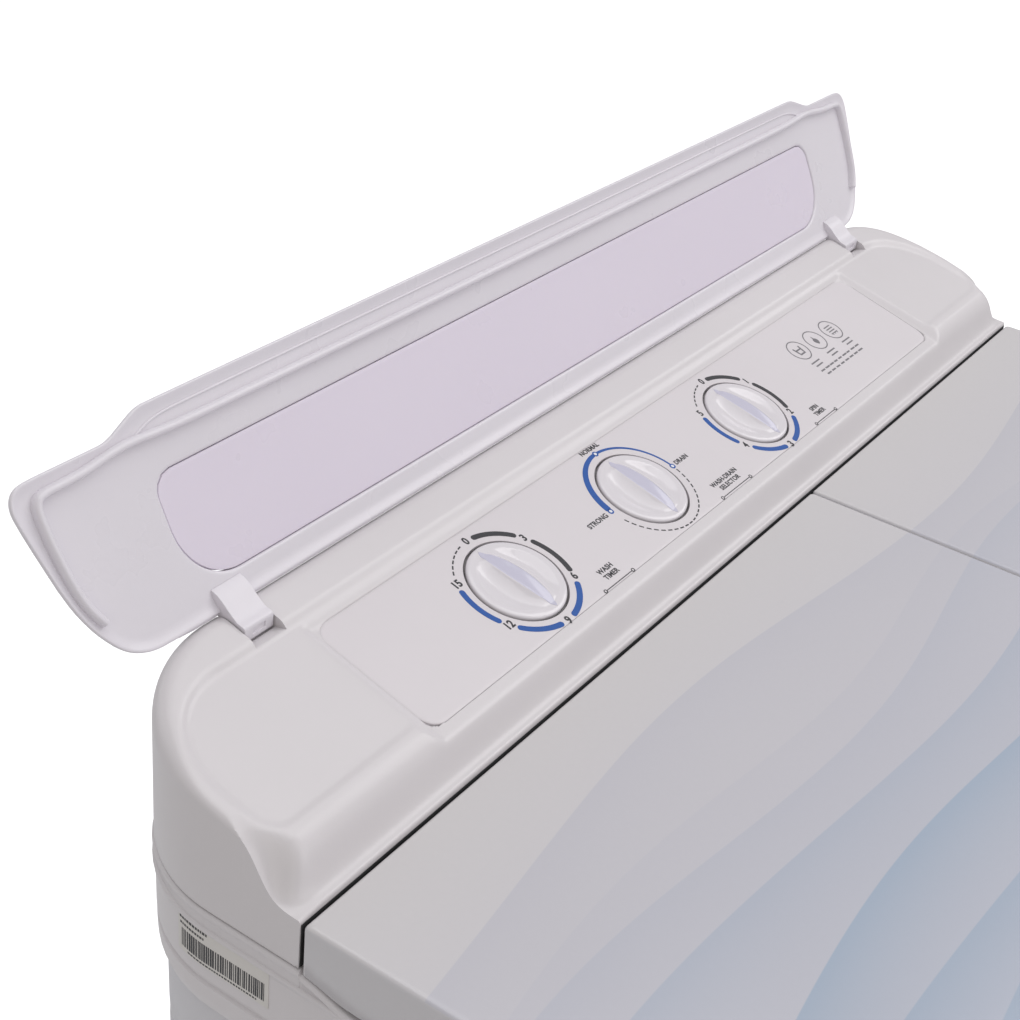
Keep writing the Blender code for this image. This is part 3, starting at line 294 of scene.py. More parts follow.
def lid_print():
    """Glossy lid plastic with translucent wave bands printed across both lids."""
    shader = Shader("lid_print")
    math, mix, noise = shader.math, shader.mix, shader.noise
    split = shader.node("ShaderNodeSeparateXYZ")
    shader.feed(split.inputs[0], shader.coords)
    x, y, z = split.outputs
    # up to 5 mm of wobble either way
    wobble = math('MULTIPLY', math('SUBTRACT', noise(scale=3.0, detail=1.0), 0.5), 0.010)
    wavy_y = math('ADD', y, wobble)
    # ground colour, bluer towards the front
    color = mix(math('MULTIPLY_ADD', y, -3.0, 0.28, clamp=True), srgb(211, 208, 209),
                srgb(198, 197, 208))
    for mean, swing, crest, length, strength, fade, hue in BANDS:
        phase = math('MULTIPLY_ADD', x, 2 * pi / (length * MM), -crest * 2 * pi / length)
        edge = math('MULTIPLY_ADD', math('COSINE', phase), swing * MM, (CONSOLE_Y + mean) * MM)
        ahead = math('SUBTRACT', edge, wavy_y)          # positive in front of the edge
        mask = math('MULTIPLY', ahead, 1400.0, clamp=True)
        decay = math('POWER', 2.7183,
                     math('MULTIPLY', math('MAXIMUM', ahead, 0.0), -1000.0 / fade))
        factor = math('MULTIPLY', math('MULTIPLY', mask, decay), strength, clamp=True)
        color = mix(factor, color,
                    tuple(g * (1 - hue) + b * hue for g, b in zip(BAND_GREY, BAND_BLUE)))
    # the print is only on the top face
    color = mix(math('GREATER_THAN', z, (DECK_Z - 1.2) * MM), srgb(206, 204, 207), color)
    specks = shader.remap(noise(scale=300.0, detail=3.0), low=0.0, high=0.05)
    shader.set("Base Color", mix(specks, color, srgb(150, 150, 160)))
    shader.set("Roughness", shader.remap(noise(scale=18.0, detail=3.0), low=0.15, high=0.24))
    fine = shader.bump(noise(scale=850.0), distance=0.000012, strength=0.5)
    shader.set("Normal", shader.bump(noise(scale=30.0), distance=0.00010, strength=0.35,
                                     under=fine))
    shader.coat(weight=0.35, rough=0.05)
    return shader.material


def window_plastic():
    """Milky plastic of the cover window."""
    shader = Shader("cover_window")
    noise = shader.noise
    shader.set("Base Color", shader.mix(noise(scale=5.0), srgb(224, 216, 229),
                                        srgb(230, 222, 234)))
    shader.set("Roughness", shader.remap(noise(scale=30.0, detail=3.0), low=0.24, high=0.34))
    waves = shader.bump(noise(scale=22.0), distance=0.0002, strength=0.3)
    shader.set("Normal", shader.bump(noise(scale=1100.0), distance=0.00002, strength=0.6,
                                     under=waves))
    shader.scatter(weight=0.12, radius=(0.006, 0.006, 0.007))
    return shader.material


WHITE = plastic("white_shell", (219, 215, 217), rough=0.30, corner_shade=0.35, coat=0.15)
PANEL = plastic("panel_face", (221, 216, 219), rough=0.36, grain=0.000022, corner_shade=0.3)
COVER = plastic("cover_shell", (228, 224, 230), rough=0.28, coat=0.15, corner_shade=0.05, scatter=0.05)
CABINET = plastic("cabinet_shell", (213, 212, 216), rough=0.38, grain=0.00005,
                  grain_scale=620.0, corner_shade=0.25)
KNOB = plastic("knob_plastic", (226, 222, 226), rough=0.12, drift=0.012, grain=0.000008,
               coat=0.6, corner_shade=0.25)
# painted shade: a darker, bluer copy of the knob plastic for the grip top, standing in for the
# dimmer reflection of its glossy dished face
KNOB_GRIP_SHADE = plastic("knob_grip_painted_shade", (204, 202, 219), rough=0.15, drift=0.012,
                   grain=0.000008, coat=0.5, corner_shade=0.25)
TUB = plastic("tub_plastic", (205, 211, 217), rough=0.33, coat=0.1, corner_shade=0.4)
BLUE = plastic("blue_plastic", (70, 122, 178), rough=0.32, coat=0.1, corner_shade=0.4)
BASE = plastic("dark_plastic", (58, 66, 80), rough=0.48, grain=0.00008, grain_scale=420.0,
               corner_shade=0.3)
GUARD = plastic("guard_plastic", (214, 217, 222), rough=0.4, corner_shade=0.45)
HOSE = plastic("grey_hose", (150, 153, 158), rough=0.5, grain=0.00006, grain_scale=500.0,
               corner_shade=0.6)
RUBBER = rubber("rubber", (38, 38, 40))
STEEL = metal("steel", (196, 198, 202), rough=0.28)
STAINLESS = metal("stainless", (204, 206, 208), rough=0.24, brush=(1, 1, 55), brush_scale=50.0)
ZINC = metal("zinc_plate", (178, 182, 186), rough=0.42, brush=(1, 1, 1), brush_scale=34.0,
             stain=0.4)
ALUMINIUM = metal("cast_aluminium", (186, 188, 190), rough=0.46, brush=(1, 1, 1),
                  brush_scale=420.0, scratch=0.00018)
MOTOR = enamel("motor_enamel", (52, 56, 60))
BRASS = metal("brass", (190, 158, 92), rough=0.3)
LABEL = plastic("label_stock", (220, 217, 213), rough=0.5, grain=0.00001)
BLUE_INK = ink("ink_blue", (10, 80, 160))
DARK_INK = ink("ink_dark", (46, 46, 51))
GREY_INK = ink("ink_grey", (116, 114, 118))
WHITE_INK = ink("ink_white", (222, 226, 232))
LID = lid_print()
WINDOW = window_plastic()


# ------------------------------------------------------------------ mesh helpers
# A mesh is a pair (vertices in mm, faces).
def on_panel(u, v, n):
    """Point at u across, v up the panel slope, n above the panel."""
    return (u, CONSOLE_Y + PANEL_Y + v * PANEL_COS - n * PANEL_SIN,
            DECK_Z + PANEL_Z + v * PANEL_SIN + n * PANEL_COS)


def on_cover(x, s, t):
    """Point on the open cover: s up from its root line, t out of its front face."""
    return (x, COVER_ROOT[0] + COVER_COS * s - COVER_SIN * t,
            COVER_ROOT[1] + COVER_SIN * s + COVER_COS * t)


def new_object(name, mesh):
    data = bpy.data.meshes.new(name)
    data.from_pydata([(x * MM, y * MM, z * MM) for x, y, z in mesh[0]], [], mesh[1])
    ob = bpy.data.objects.new(name, data)
    bpy.context.scene.collection.objects.link(ob)
    return ob


def sharpen(ob, angle):
    ob.data.set_sharp_from_angle(angle=radians(angle))


def clean(ob, sharp=40.0, weld=True):
    """Weld, drop loose points, turn the faces outwards and mark the sharp edges."""
    bm = bmesh.new()
    bm.from_mesh(ob.data)
    if weld:
        bmesh.ops.remove_doubles(bm, verts=bm.verts, dist=2e-6)
        bmesh.ops.dissolve_degenerate(bm, edges=bm.edges, dist=1e-6)
    loose = [v for v in bm.verts if not v.link_faces]
    bmesh.ops.delete(bm, geom=loose, context='VERTS')
    bmesh.ops.recalc_face_normals(bm, faces=bm.faces)
    bm.to_mesh(ob.data)
    bm.free()
    ob.data.shade_smooth()
    sharpen(ob, sharp)


def piece(name, mesh, mats, body="frame", sharp=40.0, weld=True, face_mats=None):
    """Make an object that rides on a body; face_mats picks from a list of materials."""
    ob = new_object(name, mesh)
    for mat in mats if isinstance(mats, list) else [mats]:
        ob.data.materials.append(mat)
    if face_mats is not None:
        for face, index in zip(ob.data.polygons, face_mats):
            face.material_index = index
    clean(ob, sharp, weld)
    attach(ob, body)
    return ob


def loft(loops, closed=False):
    """Skin between loops of equal count, capped unless the last joins the first."""
    n, count = len(loops[0]), len(loops)
    faces = []
    for k in range(count if closed else count - 1):
        a, b = k * n, ((k + 1) % count) * n
        for i in range(n):
            j = (i + 1) % n
            faces.append((a + i, a + j, b + j, b + i))
    if not closed:
        faces.append(tuple(range(n - 1, -1, -1)))
        faces.append(tuple(range((count - 1) * n, count * n)))
    return [point for loop in loops for point in loop], faces


def merge(meshes):
    verts, faces = [], []
    for part_verts, part_faces in meshes:
        start = len(verts)
        verts += part_verts
        faces += [tuple(k + start for k in face) for face in part_faces]
    return verts, faces


def prism(profile, origin, stations):
    """A (y, z) profile about the origin, run through x stations."""
    return loft([[(x, origin[0] + y, origin[1] + z) for y, z in profile] for x in stations])


def box(low, high):
    (x0, y0, z0), (x1, y1, z1) = low, high
    verts = [(x, y, z) for z in (z0, z1) for x, y in ((x0, y0), (x1, y0), (x1, y1), (x0, y1))]
    return verts, [(3, 2, 1, 0), (4, 5, 6, 7), (0, 1, 5, 4), (1, 2, 6, 5), (2, 3, 7, 6),
                   (3, 0, 4, 7)]


def circle(cx, cy, z, radius, sides):
    return [(cx + radius * cos(2 * pi * i / sides), cy + radius * sin(2 * pi * i / sides), z)
            for i in range(sides)]


def lathe(cx, cy, profile, sides, ring=False):
    """Turn a (radius, z) profile; a ring has a closed profile."""
    return loft([circle(cx, cy, z, max(r, 0.001), sides) for r, z in profile], closed=ring)


def plug(cx, cy, radius, low, high, sides):
    return lathe(cx, cy, [(0, low), (radius, low), (radius, high), (0, high)], sides)


def round_rect(cx, cy, z, half_x, half_y, radius, steps, splits=0):
    """Rounded rectangle with steps per corner; splits divide its sides over 60 mm."""
    points = []
    for q, (sx, sy) in enumerate(((1, 1), (-1, 1), (-1, -1), (1, -1))):
        ox, oy = cx + sx * (half_x - radius), cy + sy * (half_y - radius)
        for i in range(steps + 1):
            a = q * pi / 2 + i * pi / 2 / steps
            points.append((ox + radius * cos(a), oy + radius * sin(a), z))
    if not splits:
        return points
    split = []
    for a, b in zip(points, points[1:] + points[:1]):
        split.append(a)
        if abs(a[0] - b[0]) + abs(a[1] - b[1]) > 60:
            for i in range(1, splits):
                t = i / splits
                split.append((a[0] + (b[0] - a[0]) * t, a[1] + (b[1] - a[1]) * t, z))
    return split


def tube(path, radius, sides=16, bore=0.0):
    """Round bar, or pipe with a bore, along a path; radius may be a list."""
    points = [Vector(point) for point in path]
    last = len(points) - 1
    radii = radius if isinstance(radius, list) else [radius] * len(points)
    frames, across = [], None
    for i, point in enumerate(points):
        along = (points[min(i + 1, last)] - points[max(i - 1, 0)]).normalized()
        if across is None:
            across = Vector((0, 0, 1)).cross(along)
            if across.length < 0.2:
                across = Vector((1, 0, 0))
            across.normalize()
        else:
            across = (across - along * across.dot(along)).normalized()
        frames.append((point, across, along.cross(across)))

    def section(centre, first, second, size):
        angles = [2 * pi * i / sides for i in range(sides)]
        return [tuple(centre + first * (size * cos(a)) + second * (size * sin(a)))
                for a in angles]

    outer = [section(*axes, size) for axes, size in zip(frames, radii)]
    if bore <= 0:
        return loft(outer)
    return loft(outer + [section(*axes, bore) for axes in frames][::-1], closed=True)


def cut(ob, mesh):
    """Subtract a closed mesh from an object."""
    tool = new_object("tool", mesh)
    clean(tool, weld=False)
    modifier = ob.modifiers.new("cut", 'BOOLEAN')
    modifier.object, modifier.operation, modifier.solver = tool, 'DIFFERENCE', 'EXACT'
    bpy.context.view_layer.update()
    evaluated = ob.evaluated_get(bpy.context.evaluated_depsgraph_get())
    data = bpy.data.meshes.new_from_object(evaluated)
    ob.modifiers.clear()
    ob.data = data
    bpy.data.objects.remove(tool, do_unlink=True)
    clean(ob)


def drill(ob, x, y, low, high, radius, sides):
    """Cut an upright round hole."""
    cut(ob, tube([(x, y, low), (x, y, high)], radius, sides))


def drill_ring(ob, cx, cy, ring, count, first, low, high, radius, sides):
    """Cut holes spread on a circle, the first at an angle in radians."""
    for k in range(count):
        a = 2 * pi * k / count + first
        drill(ob, cx + ring * cos(a), cy + ring * sin(a), low, high, radius, sides)


def bevel(ob, width, segments, angle=35.0):
    modifier = ob.modifiers.new("bevel", 'BEVEL')
    modifier.width, modifier.segments = width * MM, segments
    modifier.limit_method, modifier.angle_limit = 'ANGLE', radians(angle)


def thicken(ob, thickness, offset=-1.0):
    modifier = ob.modifiers.new("wall", 'SOLIDIFY')
    modifier.thickness, modifier.offset = thickness * MM, offset
    modifier.use_even_offset = False


def smooth(t):
    """Smooth step from 0 to 1."""
    t = np.clip(t, 0.0, 1.0)
    return t * t * (3 - 2 * t)


def mirrored(half):
    """Points up to x = 0, followed by their mirror image."""
    return half + [(-x, s) for x, s in half[-2::-1]]


# ----------------------------------------------------------------- console shell
# In this section y counts from the console front and heights from the deck.
FIELD_X, FIELD_Y = -432.0, -4.0             # first corner of the height grid
# Height of the rounded front: (y, height), along the middle and at the two ends
FRONT_MIDDLE = (
    (-20, 2.2), (2, 2.4), (4.5, 3.1), (6, 4.6), (8, 9.3), (10, 15.0), (12, 19.5),
    (13.5, 21.8), (16, 24.4), (20, 27.4), (30, 34.0))
FRONT_END = (
    (-20, 1.2), (3, 1.3), (9, 1.7), (13.1, 2.6), (17, 5.0), (21.5, 10.2), (25, 15.8),
    (28.6, 21.4), (32, 25.6), (35.7, 28.5), (45, 34.0), (52, 38.0))
TRAY_SIDE, TRAY_FRONT, TRAY_BACK = 421.0, 24.0, 108.5


def rim(y):
    return 29.6 + RIM_SLOPE * (y - 29.0)


def panel_plane(y):
    return PANEL_Z + tan(PANEL_ANGLE) * (y - PANEL_Y)


def blur(field, sigma, axis):
    """Gaussian blur along one axis."""
    offsets = np.arange(-int(4 * sigma) - 1, int(4 * sigma) + 2)
    weights = np.exp(-0.5 * (offsets / sigma) ** 2)
    weights /= weights.sum()
    pad = [(0, 0), (0, 0)]
    pad[axis] = (len(offsets) // 2, len(offsets) // 2)
    padded = np.pad(field, pad, mode='edge')
    return np.apply_along_axis(lambda row: np.convolve(row, weights, 'valid'), axis, padded)


def panel_distance(x, y, corner=13.0):
    """Distance outside the panel insert outline; the front side closes faster."""
    du = np.abs(x - PANEL_X) - PANEL_HALF
    dv = np.where(y > 60, (y - PANEL_Y) - PANEL_DEPTH, (PANEL_Y - y) * 2.3)
    du, dv = du + corner, dv + corner
    return (np.hypot(np.maximum(du, 0), np.maximum(dv, 0))
            + np.minimum(np.maximum(du, dv), 0) - corner)


def console_field():
    """Top surface on a grid of 1 mm in x by 0.5 mm in y, softened by a blur."""
    x, y = np.meshgrid(np.arange(FIELD_X, 432.5, 1.0), np.arange(FIELD_Y, 140.0, 0.5),
                       indexing='ij')
    top = rim(y)
    end = 1 - smooth((HALF_W - np.abs(x)) / 17.0)
    front = np.interp(y, *zip(*FRONT_MIDDLE)) * (1 - end) + np.interp(y, *zip(*FRONT_END)) * end
    z = np.minimum(top, np.where(y > 29 + 20 * end, 1e3, front))
    # shallow tray inside the rim: distance in from its outline, then its depth
    from_side = TRAY_SIDE - np.abs(x)
    inside = np.minimum(from_side, np.minimum(y - TRAY_FRONT, TRAY_BACK - y))
    for radius, dy in ((50.0, y - (TRAY_BACK - 50.0)), (15.0, TRAY_FRONT + 15.0 - y)):
        dx = radius - from_side
        inside = np.where((dx > 0) & (dy > 0), radius - np.hypot(dx, dy), inside)
    depth = 1.1 + 2.1 * np.clip((y - 30.0) / 75.0, 0, 1)
    z = np.minimum(z, np.where(inside > 0, top - depth * smooth(inside / 4.2), 1e3))
    # panel recess: gentle end walls, steep back wall
    du = np.clip(np.abs(x - PANEL_X) - PANEL_HALF, 0, None)
    dv = np.clip((y - PANEL_Y) - PANEL_DEPTH, 0, None)
    z = np.minimum(z, panel_plane(y) + np.hypot(0.6 * du, dv))
    return blur(blur(z, 1.2, 0), 2.0, 1)


FIELD = console_field()


def sample(x, y):
    """Field height between its grid points."""
    fx = np.clip(x - FIELD_X, 0, FIELD.shape[0] - 1.001)
    fy = np.clip((y - FIELD_Y) * 2, 0, FIELD.shape[1] - 1.001)
    i, j = fx.astype(int), fy.astype(int)
    a, b = fx - i, fy - j
    return (FIELD[i, j] * (1 - a) * (1 - b) + FIELD[i + 1, j] * a * (1 - b)
            + FIELD[i, j + 1] * (1 - a) * b + FIELD[i + 1, j + 1] * a * b)


def round_over(distance, radius):
    """Drop of a quarter round at a distance in from the edge."""
    drop = radius - np.sqrt(np.clip(radius * radius - (radius - distance) ** 2, 0, None))
    return np.where(distance < radius, drop, 0)


# Runs of grid lines: (start, stop, step)
COLUMN_RUNS = ((-368, -296, 1.6), (304, 374, 1.6), (-296, 304, 7.5))
ROW_RUNS = ((0, 3, 1.25), (3, 40, 0.85), (40, 60, 1.3), (60, 97, 1.8), (101.5, 112, 0.9),
            (109, 121, 1.2))
EXTRA_ROWS = (0.25, 0.6, 1.0, 1.6, 112.55, 112.65, 19.2, 19.6, 20.0, 20.35, 20.7, 23.4, 23.7)
STEP_LINES = (-1, -0.3, 0.0, 0.35, 0.7, 1.1)    # round the edge of the panel seat


def console_columns():
    """x of the grid lines, closer at the corners, panel ends and lug notches."""
    lines = set()
    for side, radius, count in ((1, REAR_R[1], 26), (-1, REAR_R[0], 34)):
        lines.update(np.round([side * (HALF_W - radius * (1 - sin(radians(a))))
                               for a in np.linspace(0, 90, count)], 4))
    for run in COLUMN_RUNS:
        lines.update(np.arange(*run).round(3))
    for side in (-1, 1):
        lines.update(np.round([PANEL_X + side * PANEL_HALF + side * k
                               for k in (-3, -2.6, *STEP_LINES, 1.8)], 3))
    for lug in LUG_X:
        lines = {x for x in lines if not abs(abs(x - lug) - LUG_SLOT) < 0.9}
        lines |= {lug + side * (LUG_SLOT + k) for side in (-1, 1) for k in (-0.05, 0.05)}
    lines = np.array(sorted(lines))
    return lines[np.concatenate(([True], np.diff(lines) > 0.04))]


def console_rows():
    """y of the grid lines on the straight middle of the console."""
    lines = set(EXTRA_ROWS)
    for run in ROW_RUNS:
        lines.update(np.arange(*run).round(3))
    lines.update(np.round([PANEL_Y + PANEL_DEPTH + k for k in (-3.2, -2.8, *STEP_LINES)], 3))
    quarter = np.sin(np.radians(np.linspace(0, 90, 20)))
    lines.update(np.round(CONSOLE_D - 13.5 * (1 - quarter), 3))
    lines = np.array(sorted(lines))
    return lines[np.concatenate(([True], np.diff(lines) > 0.03))]


def console_surface(xs, ys):
    """Grid points of the console top as arrays x, y, z."""
    corner = np.where(xs < 0, *REAR_R)
    into = np.abs(xs) - HALF_W + corner
    depth = np.where(np.abs(xs) <= HALF_W - corner, CONSOLE_D,
                     CONSOLE_D - corner + np.sqrt(np.clip(corner ** 2 - into ** 2, 0, None)))
    x, y = np.meshgrid(xs, ys, indexing='ij')
    # rows behind y = 50 close up to follow the rear outline
    y = np.where(y > 50, 50 + (y - 50) * (depth[:, None] - 50) / (CONSOLE_D - 50), y)
    z = sample(x, y)
    # distance inside the plan outline and the rolled outer edge
    ax, radius = np.abs(x), corner[:, None]
    edge = np.minimum(HALF_W - ax, CONSOLE_D - y)
    in_corner = (ax > HALF_W - radius) & (y > CONSOLE_D - radius)
    edge = np.where(in_corner,
                    radius - np.hypot(ax - HALF_W + radius, y - CONSOLE_D + radius), edge)
    roll = 4.5 + 7.5 * smooth((y - 55) / 45.0)
    z = np.minimum(z, rim(y) - round_over(np.clip(edge, 0, None), roll))
    z = z - round_over(y, 1.5)
    # seat below the insert with a deeper floor inside its edge
    distance = panel_distance(x, y)
    plane = panel_plane(y)
    z = np.where(distance < -0.2, np.minimum(z, plane - 1.2), z)
    z = np.where(distance < -2.7, np.minimum(z, plane - 5.2), z)
    for lug in LUG_X:
        notch = np.abs(x - lug) < LUG_SLOT
        z = np.where(notch & (y > 103.9), np.minimum(z, 46.3 + (112.6 - y) * 0.27), z)
        z = np.where(notch & (y > 112.6), 40.0, z)
    return x, y, z


def build_console():
    xs, ys = console_columns(), console_rows()
    nx, ny = len(xs), len(ys)
    x, y, z = console_surface(xs, ys)
    verts = [tuple(p) for p in np.stack([x, y + CONSOLE_Y, z + DECK_Z], -1).reshape(-1, 3)]
    faces = []
    for i in range(nx - 1):
        for j in range(ny - 1):
            a, b = i * ny + j, (i + 1) * ny + j
            faces.append((a, b, b + 1, a + 1))
    border = [(i, 0) for i in range(nx)] + [(nx - 1, j) for j in range(1, ny)] + \
             [(i, ny - 1) for i in range(nx - 2, -1, -1)] + [(0, j) for j in range(ny - 2, 0, -1)]
    border = [i * ny + j for i, j in border]
    count = len(border)
    # walls down from the border: (height, inset)
    upper = border
    for height, ins in ((-12.0, 0.0), (-26.0, 0.0), (-27.4, 0.2), (-28.0, 0.6)):
        lower = [len(verts) + q for q in range(count)]
        for k in border:
            px, py, _ = verts[k]
            verts.append((px - ins * np.sign(px) * (abs(px) > 400),
                          py + (ins if py < CONSOLE_Y + 1 else -ins), DECK_Z + height))
        for q in range(count):
            p = (q + 1) % count
            faces.append((upper[q], lower[q], lower[p], upper[p]))
        upper = lower
    shell = piece("console_shell", (verts, faces), WHITE, sharp=42)
    # painted shade: a dark strip on the console front, standing in for the shadow in the gap below
    # the lid edge
    gap_shade_section = [(0.1, -27.0), (0.0, -26.6), (0.0, -1.6), (0.15, -1.2), (0.7, -1.2), (0.7, -27.0)]
    piece("console_gap_shadow_strip", prism(gap_shade_section, (CONSOLE_Y - 0.45, DECK_Z),
                                    (-HALF_W + 0.8, HALF_W - 0.8)), RUBBER)
    thicken(shell, 2.2)
    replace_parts(shell, "console_housing")


build_console()


# ----------------------------------------------- panel insert and flat outlines
def disc(u, v, radius, sides=28):
    return [(u + radius * cos(2 * pi * i / sides), v + radius * sin(2 * pi * i / sides))
            for i in range(sides)]


def build_panel():
    """Insert that carries the print, with a round well for each knob."""
    edge = ((-2.2, 0.0), (-0.3, 0.0), (-0.05, 0.12), (0.14, 0.42), (0.26, 0.85), (0.33, 1.4),
            (PANEL_FACE, 2.0))              # height above the panel plane, inset
    loops = [[on_panel(u, v, n) for u, v, _ in
              round_rect(PANEL_X, 41.0, 0, 309.0 - ins, 40.95 - ins, 11 - ins, 10)]
             for n, ins in edge]
    panel = piece("panel_insert", loft(loops), PANEL, sharp=30)
    for knob in KNOB_U:
        cut(panel, loft([[on_panel(u, v, n) for u, v in disc(knob, KNOB_V, 30.7, 96)]
                         for n in (-6, 6)]))
    sharpen(panel, 30)
    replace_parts(panel, "control_panel")


build_panel()

# ---------------------------------------------------------------------- printing
PRINT_LOW, PRINT_TOP = PANEL_FACE - 0.12, PANEL_FACE + 0.11
DIAL_R = 36.4                     # radius of the scales round the knobs
DASH_W = 0.85


def stamp(name, outlines, mat, top=PRINT_TOP):
    """One print piece from closed (u, v) outlines lying on the insert."""
    parts = [loft([[on_panel(u, v, n) for u, v in outline] for n in (PRINT_LOW, top)])
             for outline in outlines]
    piece(name, merge(parts), mat, sharp=30, weld=False)


def arc(u, v, radius, start, end, width, end_width=None, steps=None, capped=True):
    """Band along an arc in degrees, optionally tapering, with round ends if capped."""
    end_width = width if end_width is None else end_width
    steps = steps or max(4, int(abs(end - start) / 3))
    outer, inner = [], []
    for i in range(steps + 1):
        t = i / steps
        a = radians(start + (end - start) * t)
        half = 0.5 * (width + (end_width - width) * t)
        outer.append((u + (radius + half) * cos(a), v + (radius + half) * sin(a)))
        inner.append((u + (radius - half) * cos(a), v + (radius - half) * sin(a)))
    if not capped:
        return outer + inner[::-1]
    turn = 1 if end > start else -1

    def cap(angle, size, first):
        centre_u, centre_v = u + radius * cos(angle), v + radius * sin(angle)
        angles = [first + turn * pi * i / 6 for i in range(1, 6)]
        return [(centre_u + 0.5 * size * cos(b), centre_v + 0.5 * size * sin(b))
                for b in angles]

    first, last = radians(start), radians(end)
    return outer + cap(last, end_width, last) + inner[::-1] + cap(first, width, first + pi)


def dashes(u, v, start, end, dash, gap):
    """Short bands along the dial between two angles."""
    degrees = 180.0 / (pi * DIAL_R)         # in a millimetre of arc
    step = (dash + gap) * degrees
    turn = 1 if end > start else -1
    return [arc(u, v, DIAL_R, start + turn * k * step,
                start + turn * (k * step + dash * degrees), DASH_W, steps=2, capped=False)
            for k in range(int(abs(end - start) / step))]


def bar(u0, u1, v, width):
    return [(u0, v - width / 2), (u1, v - width / 2), (u1, v + width / 2), (u0, v + width / 2)]


def ring_outline(u, v, inner, outer, steps):
    """A ring as two half bands, so every outline stays simple."""
    sides = [[(u + r * cos(pi * i / steps), v + r * sin(pi * i / steps))
              for i in range(steps + 1)] for r in (outer, inner)]
    upper = sides[0] + sides[1][::-1]
    return [upper, [(2 * u - p, 2 * v - q) for p, q in upper]]


def text(name, words, u, v, size, spacing=1.05, wide=1.0, weight=0.13):
    """Dark lettering centred on (u, v)."""
    curve = bpy.data.curves.new(name, 'FONT')
    curve.body = words
    curve.size = size * MM
    curve.align_x, curve.align_y = 'CENTER', 'CENTER'
    curve.extrude = 0.00008
    curve.space_character = spacing
    curve.resolution_u = 5
    curve.offset = weight * MM
    ob = bpy.data.objects.new(name, curve)
    bpy.context.scene.collection.objects.link(ob)
    bpy.context.view_layer.update()
    evaluated = ob.evaluated_get(bpy.context.evaluated_depsgraph_get())
    data = bpy.data.meshes.new_from_object(evaluated)
    bpy.data.objects.remove(ob, do_unlink=True)
    middle = (PRINT_LOW + PRINT_TOP) / 2
    for vertex in data.vertices:
        x, y, z = vertex.co.x / MM * wide, vertex.co.y / MM, vertex.co.z / MM
        vertex.co = [c * MM for c in on_panel(u + x, v + y, middle + z * 1.4)]
    ob = bpy.data.objects.new(name, data)
    bpy.context.scene.collection.objects.link(ob)
    data.materials.clear()
    data.materials.append(DARK_INK)
    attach(ob, "frame")


def print_timer(tag, u, numbers):
    """Numbered scale round a timer knob."""
    for angle, number in zip((90, 30, -30, -90, -150, 150), numbers):
        text(f"print_{tag}_num_{number}", number, u + (DIAL_R + 0.2) * cos(radians(angle)),
             KNOB_V + (DIAL_R + 0.2) * sin(radians(angle)), 7.2, spacing=1.0, wide=0.92,
             weight=0.22)
    stamp(f"print_{tag}_dark_arcs", [arc(u, KNOB_V, DIAL_R, start, end, 3.5)
                                     for start, end in ((80, 39.5), (20.7, -21.7))], DARK_INK)
    stamp(f"print_{tag}_blue_arcs",
          [arc(u, KNOB_V, DIAL_R, start, end, 3.6)
           for start, end in ((-39.4, -79.4), (-100.0, -140.2), (-159.6, -200.5))], BLUE_INK)
    stamp(f"print_{tag}_dashes", dashes(u, KNOB_V, 100, 142, dash=2.9, gap=1.5), DARK_INK)


def print_selector(u):
    """Scale with three stops round the middle knob."""
    stops = [(u + DIAL_R * cos(a), KNOB_V + DIAL_R * sin(a)) for a in (0, pi / 2, pi)]
    stamp("print_selector_blue", [arc(u, KNOB_V, DIAL_R, 94, 176, 2.6, 4.9),
                                  arc(u, KNOB_V, DIAL_R, 86, 4, 1.9, 1.3)]
          + [disc(*stop, 2.1) for stop in stops], BLUE_INK)
    stamp("print_selector_eyes", [disc(*stop, 1.1, 20) for stop in stops], WHITE_INK,
          top=PRINT_TOP + 0.05)
    stamp("print_selector_dashes", dashes(u, KNOB_V, -5, -175, dash=3.0, gap=1.7), DARK_INK)
    text("print_normal", "NORMAL", u, KNOB_V + 41.2, 4.6)
    text("print_strong", "STRONG", u - 51.0, KNOB_V - 0.4, 4.8)
    text("print_drain", "DRAIN", u + 47.5, KNOB_V + 0.4, 4.6)


# Caption right of each knob: name, two lines, then from the knob centre:
# u and v of the words, start, end and v of the rule below
CAPTIONS = (
    ("wash_timer", "WASH", "TIMER", 52.5, -26.4, 37.3, 66.6, -37.0),
    ("selector", "WASH-DRAIN", "SELECTOR", 58.0, -26.9, 40.0, 76.0, -36.8),
    ("spin_timer", "SPIN", "TIMER", 52.5, -26.9, 37.5, 67.0, -36.8))


def print_captions():
    for knob, (name, upper, lower, du, dv, start, end, rule) in zip(KNOB_U, CAPTIONS):
        start, end, rule = knob + start, knob + end, KNOB_V + rule
        text(f"print_{name}_1", upper, knob + du, KNOB_V + dv + 0.3, 4.7)
        text(f"print_{name}_2", lower, knob + du, KNOB_V + dv - 4.6, 4.7)
        stamp(f"print_{name}_rule", [bar(start + 1.2, end - 1.2, rule, 0.5)]
              + ring_outline(start, rule, 0.85, 1.35, 12)
              + ring_outline(end, rule, 0.85, 1.35, 12), DARK_INK)


SYMBOLS = ((187.3, 52.4), (212.0, 51.8), (237.0, 51.4))
TUB_SIGN = ((-4.6, 3.4), (-3.4, -4.4), (3.4, -4.4), (4.6, 3.4), (3.2, 3.4), (2.3, -3.1),
            (-2.3, -3.1), (-3.2, 3.4))


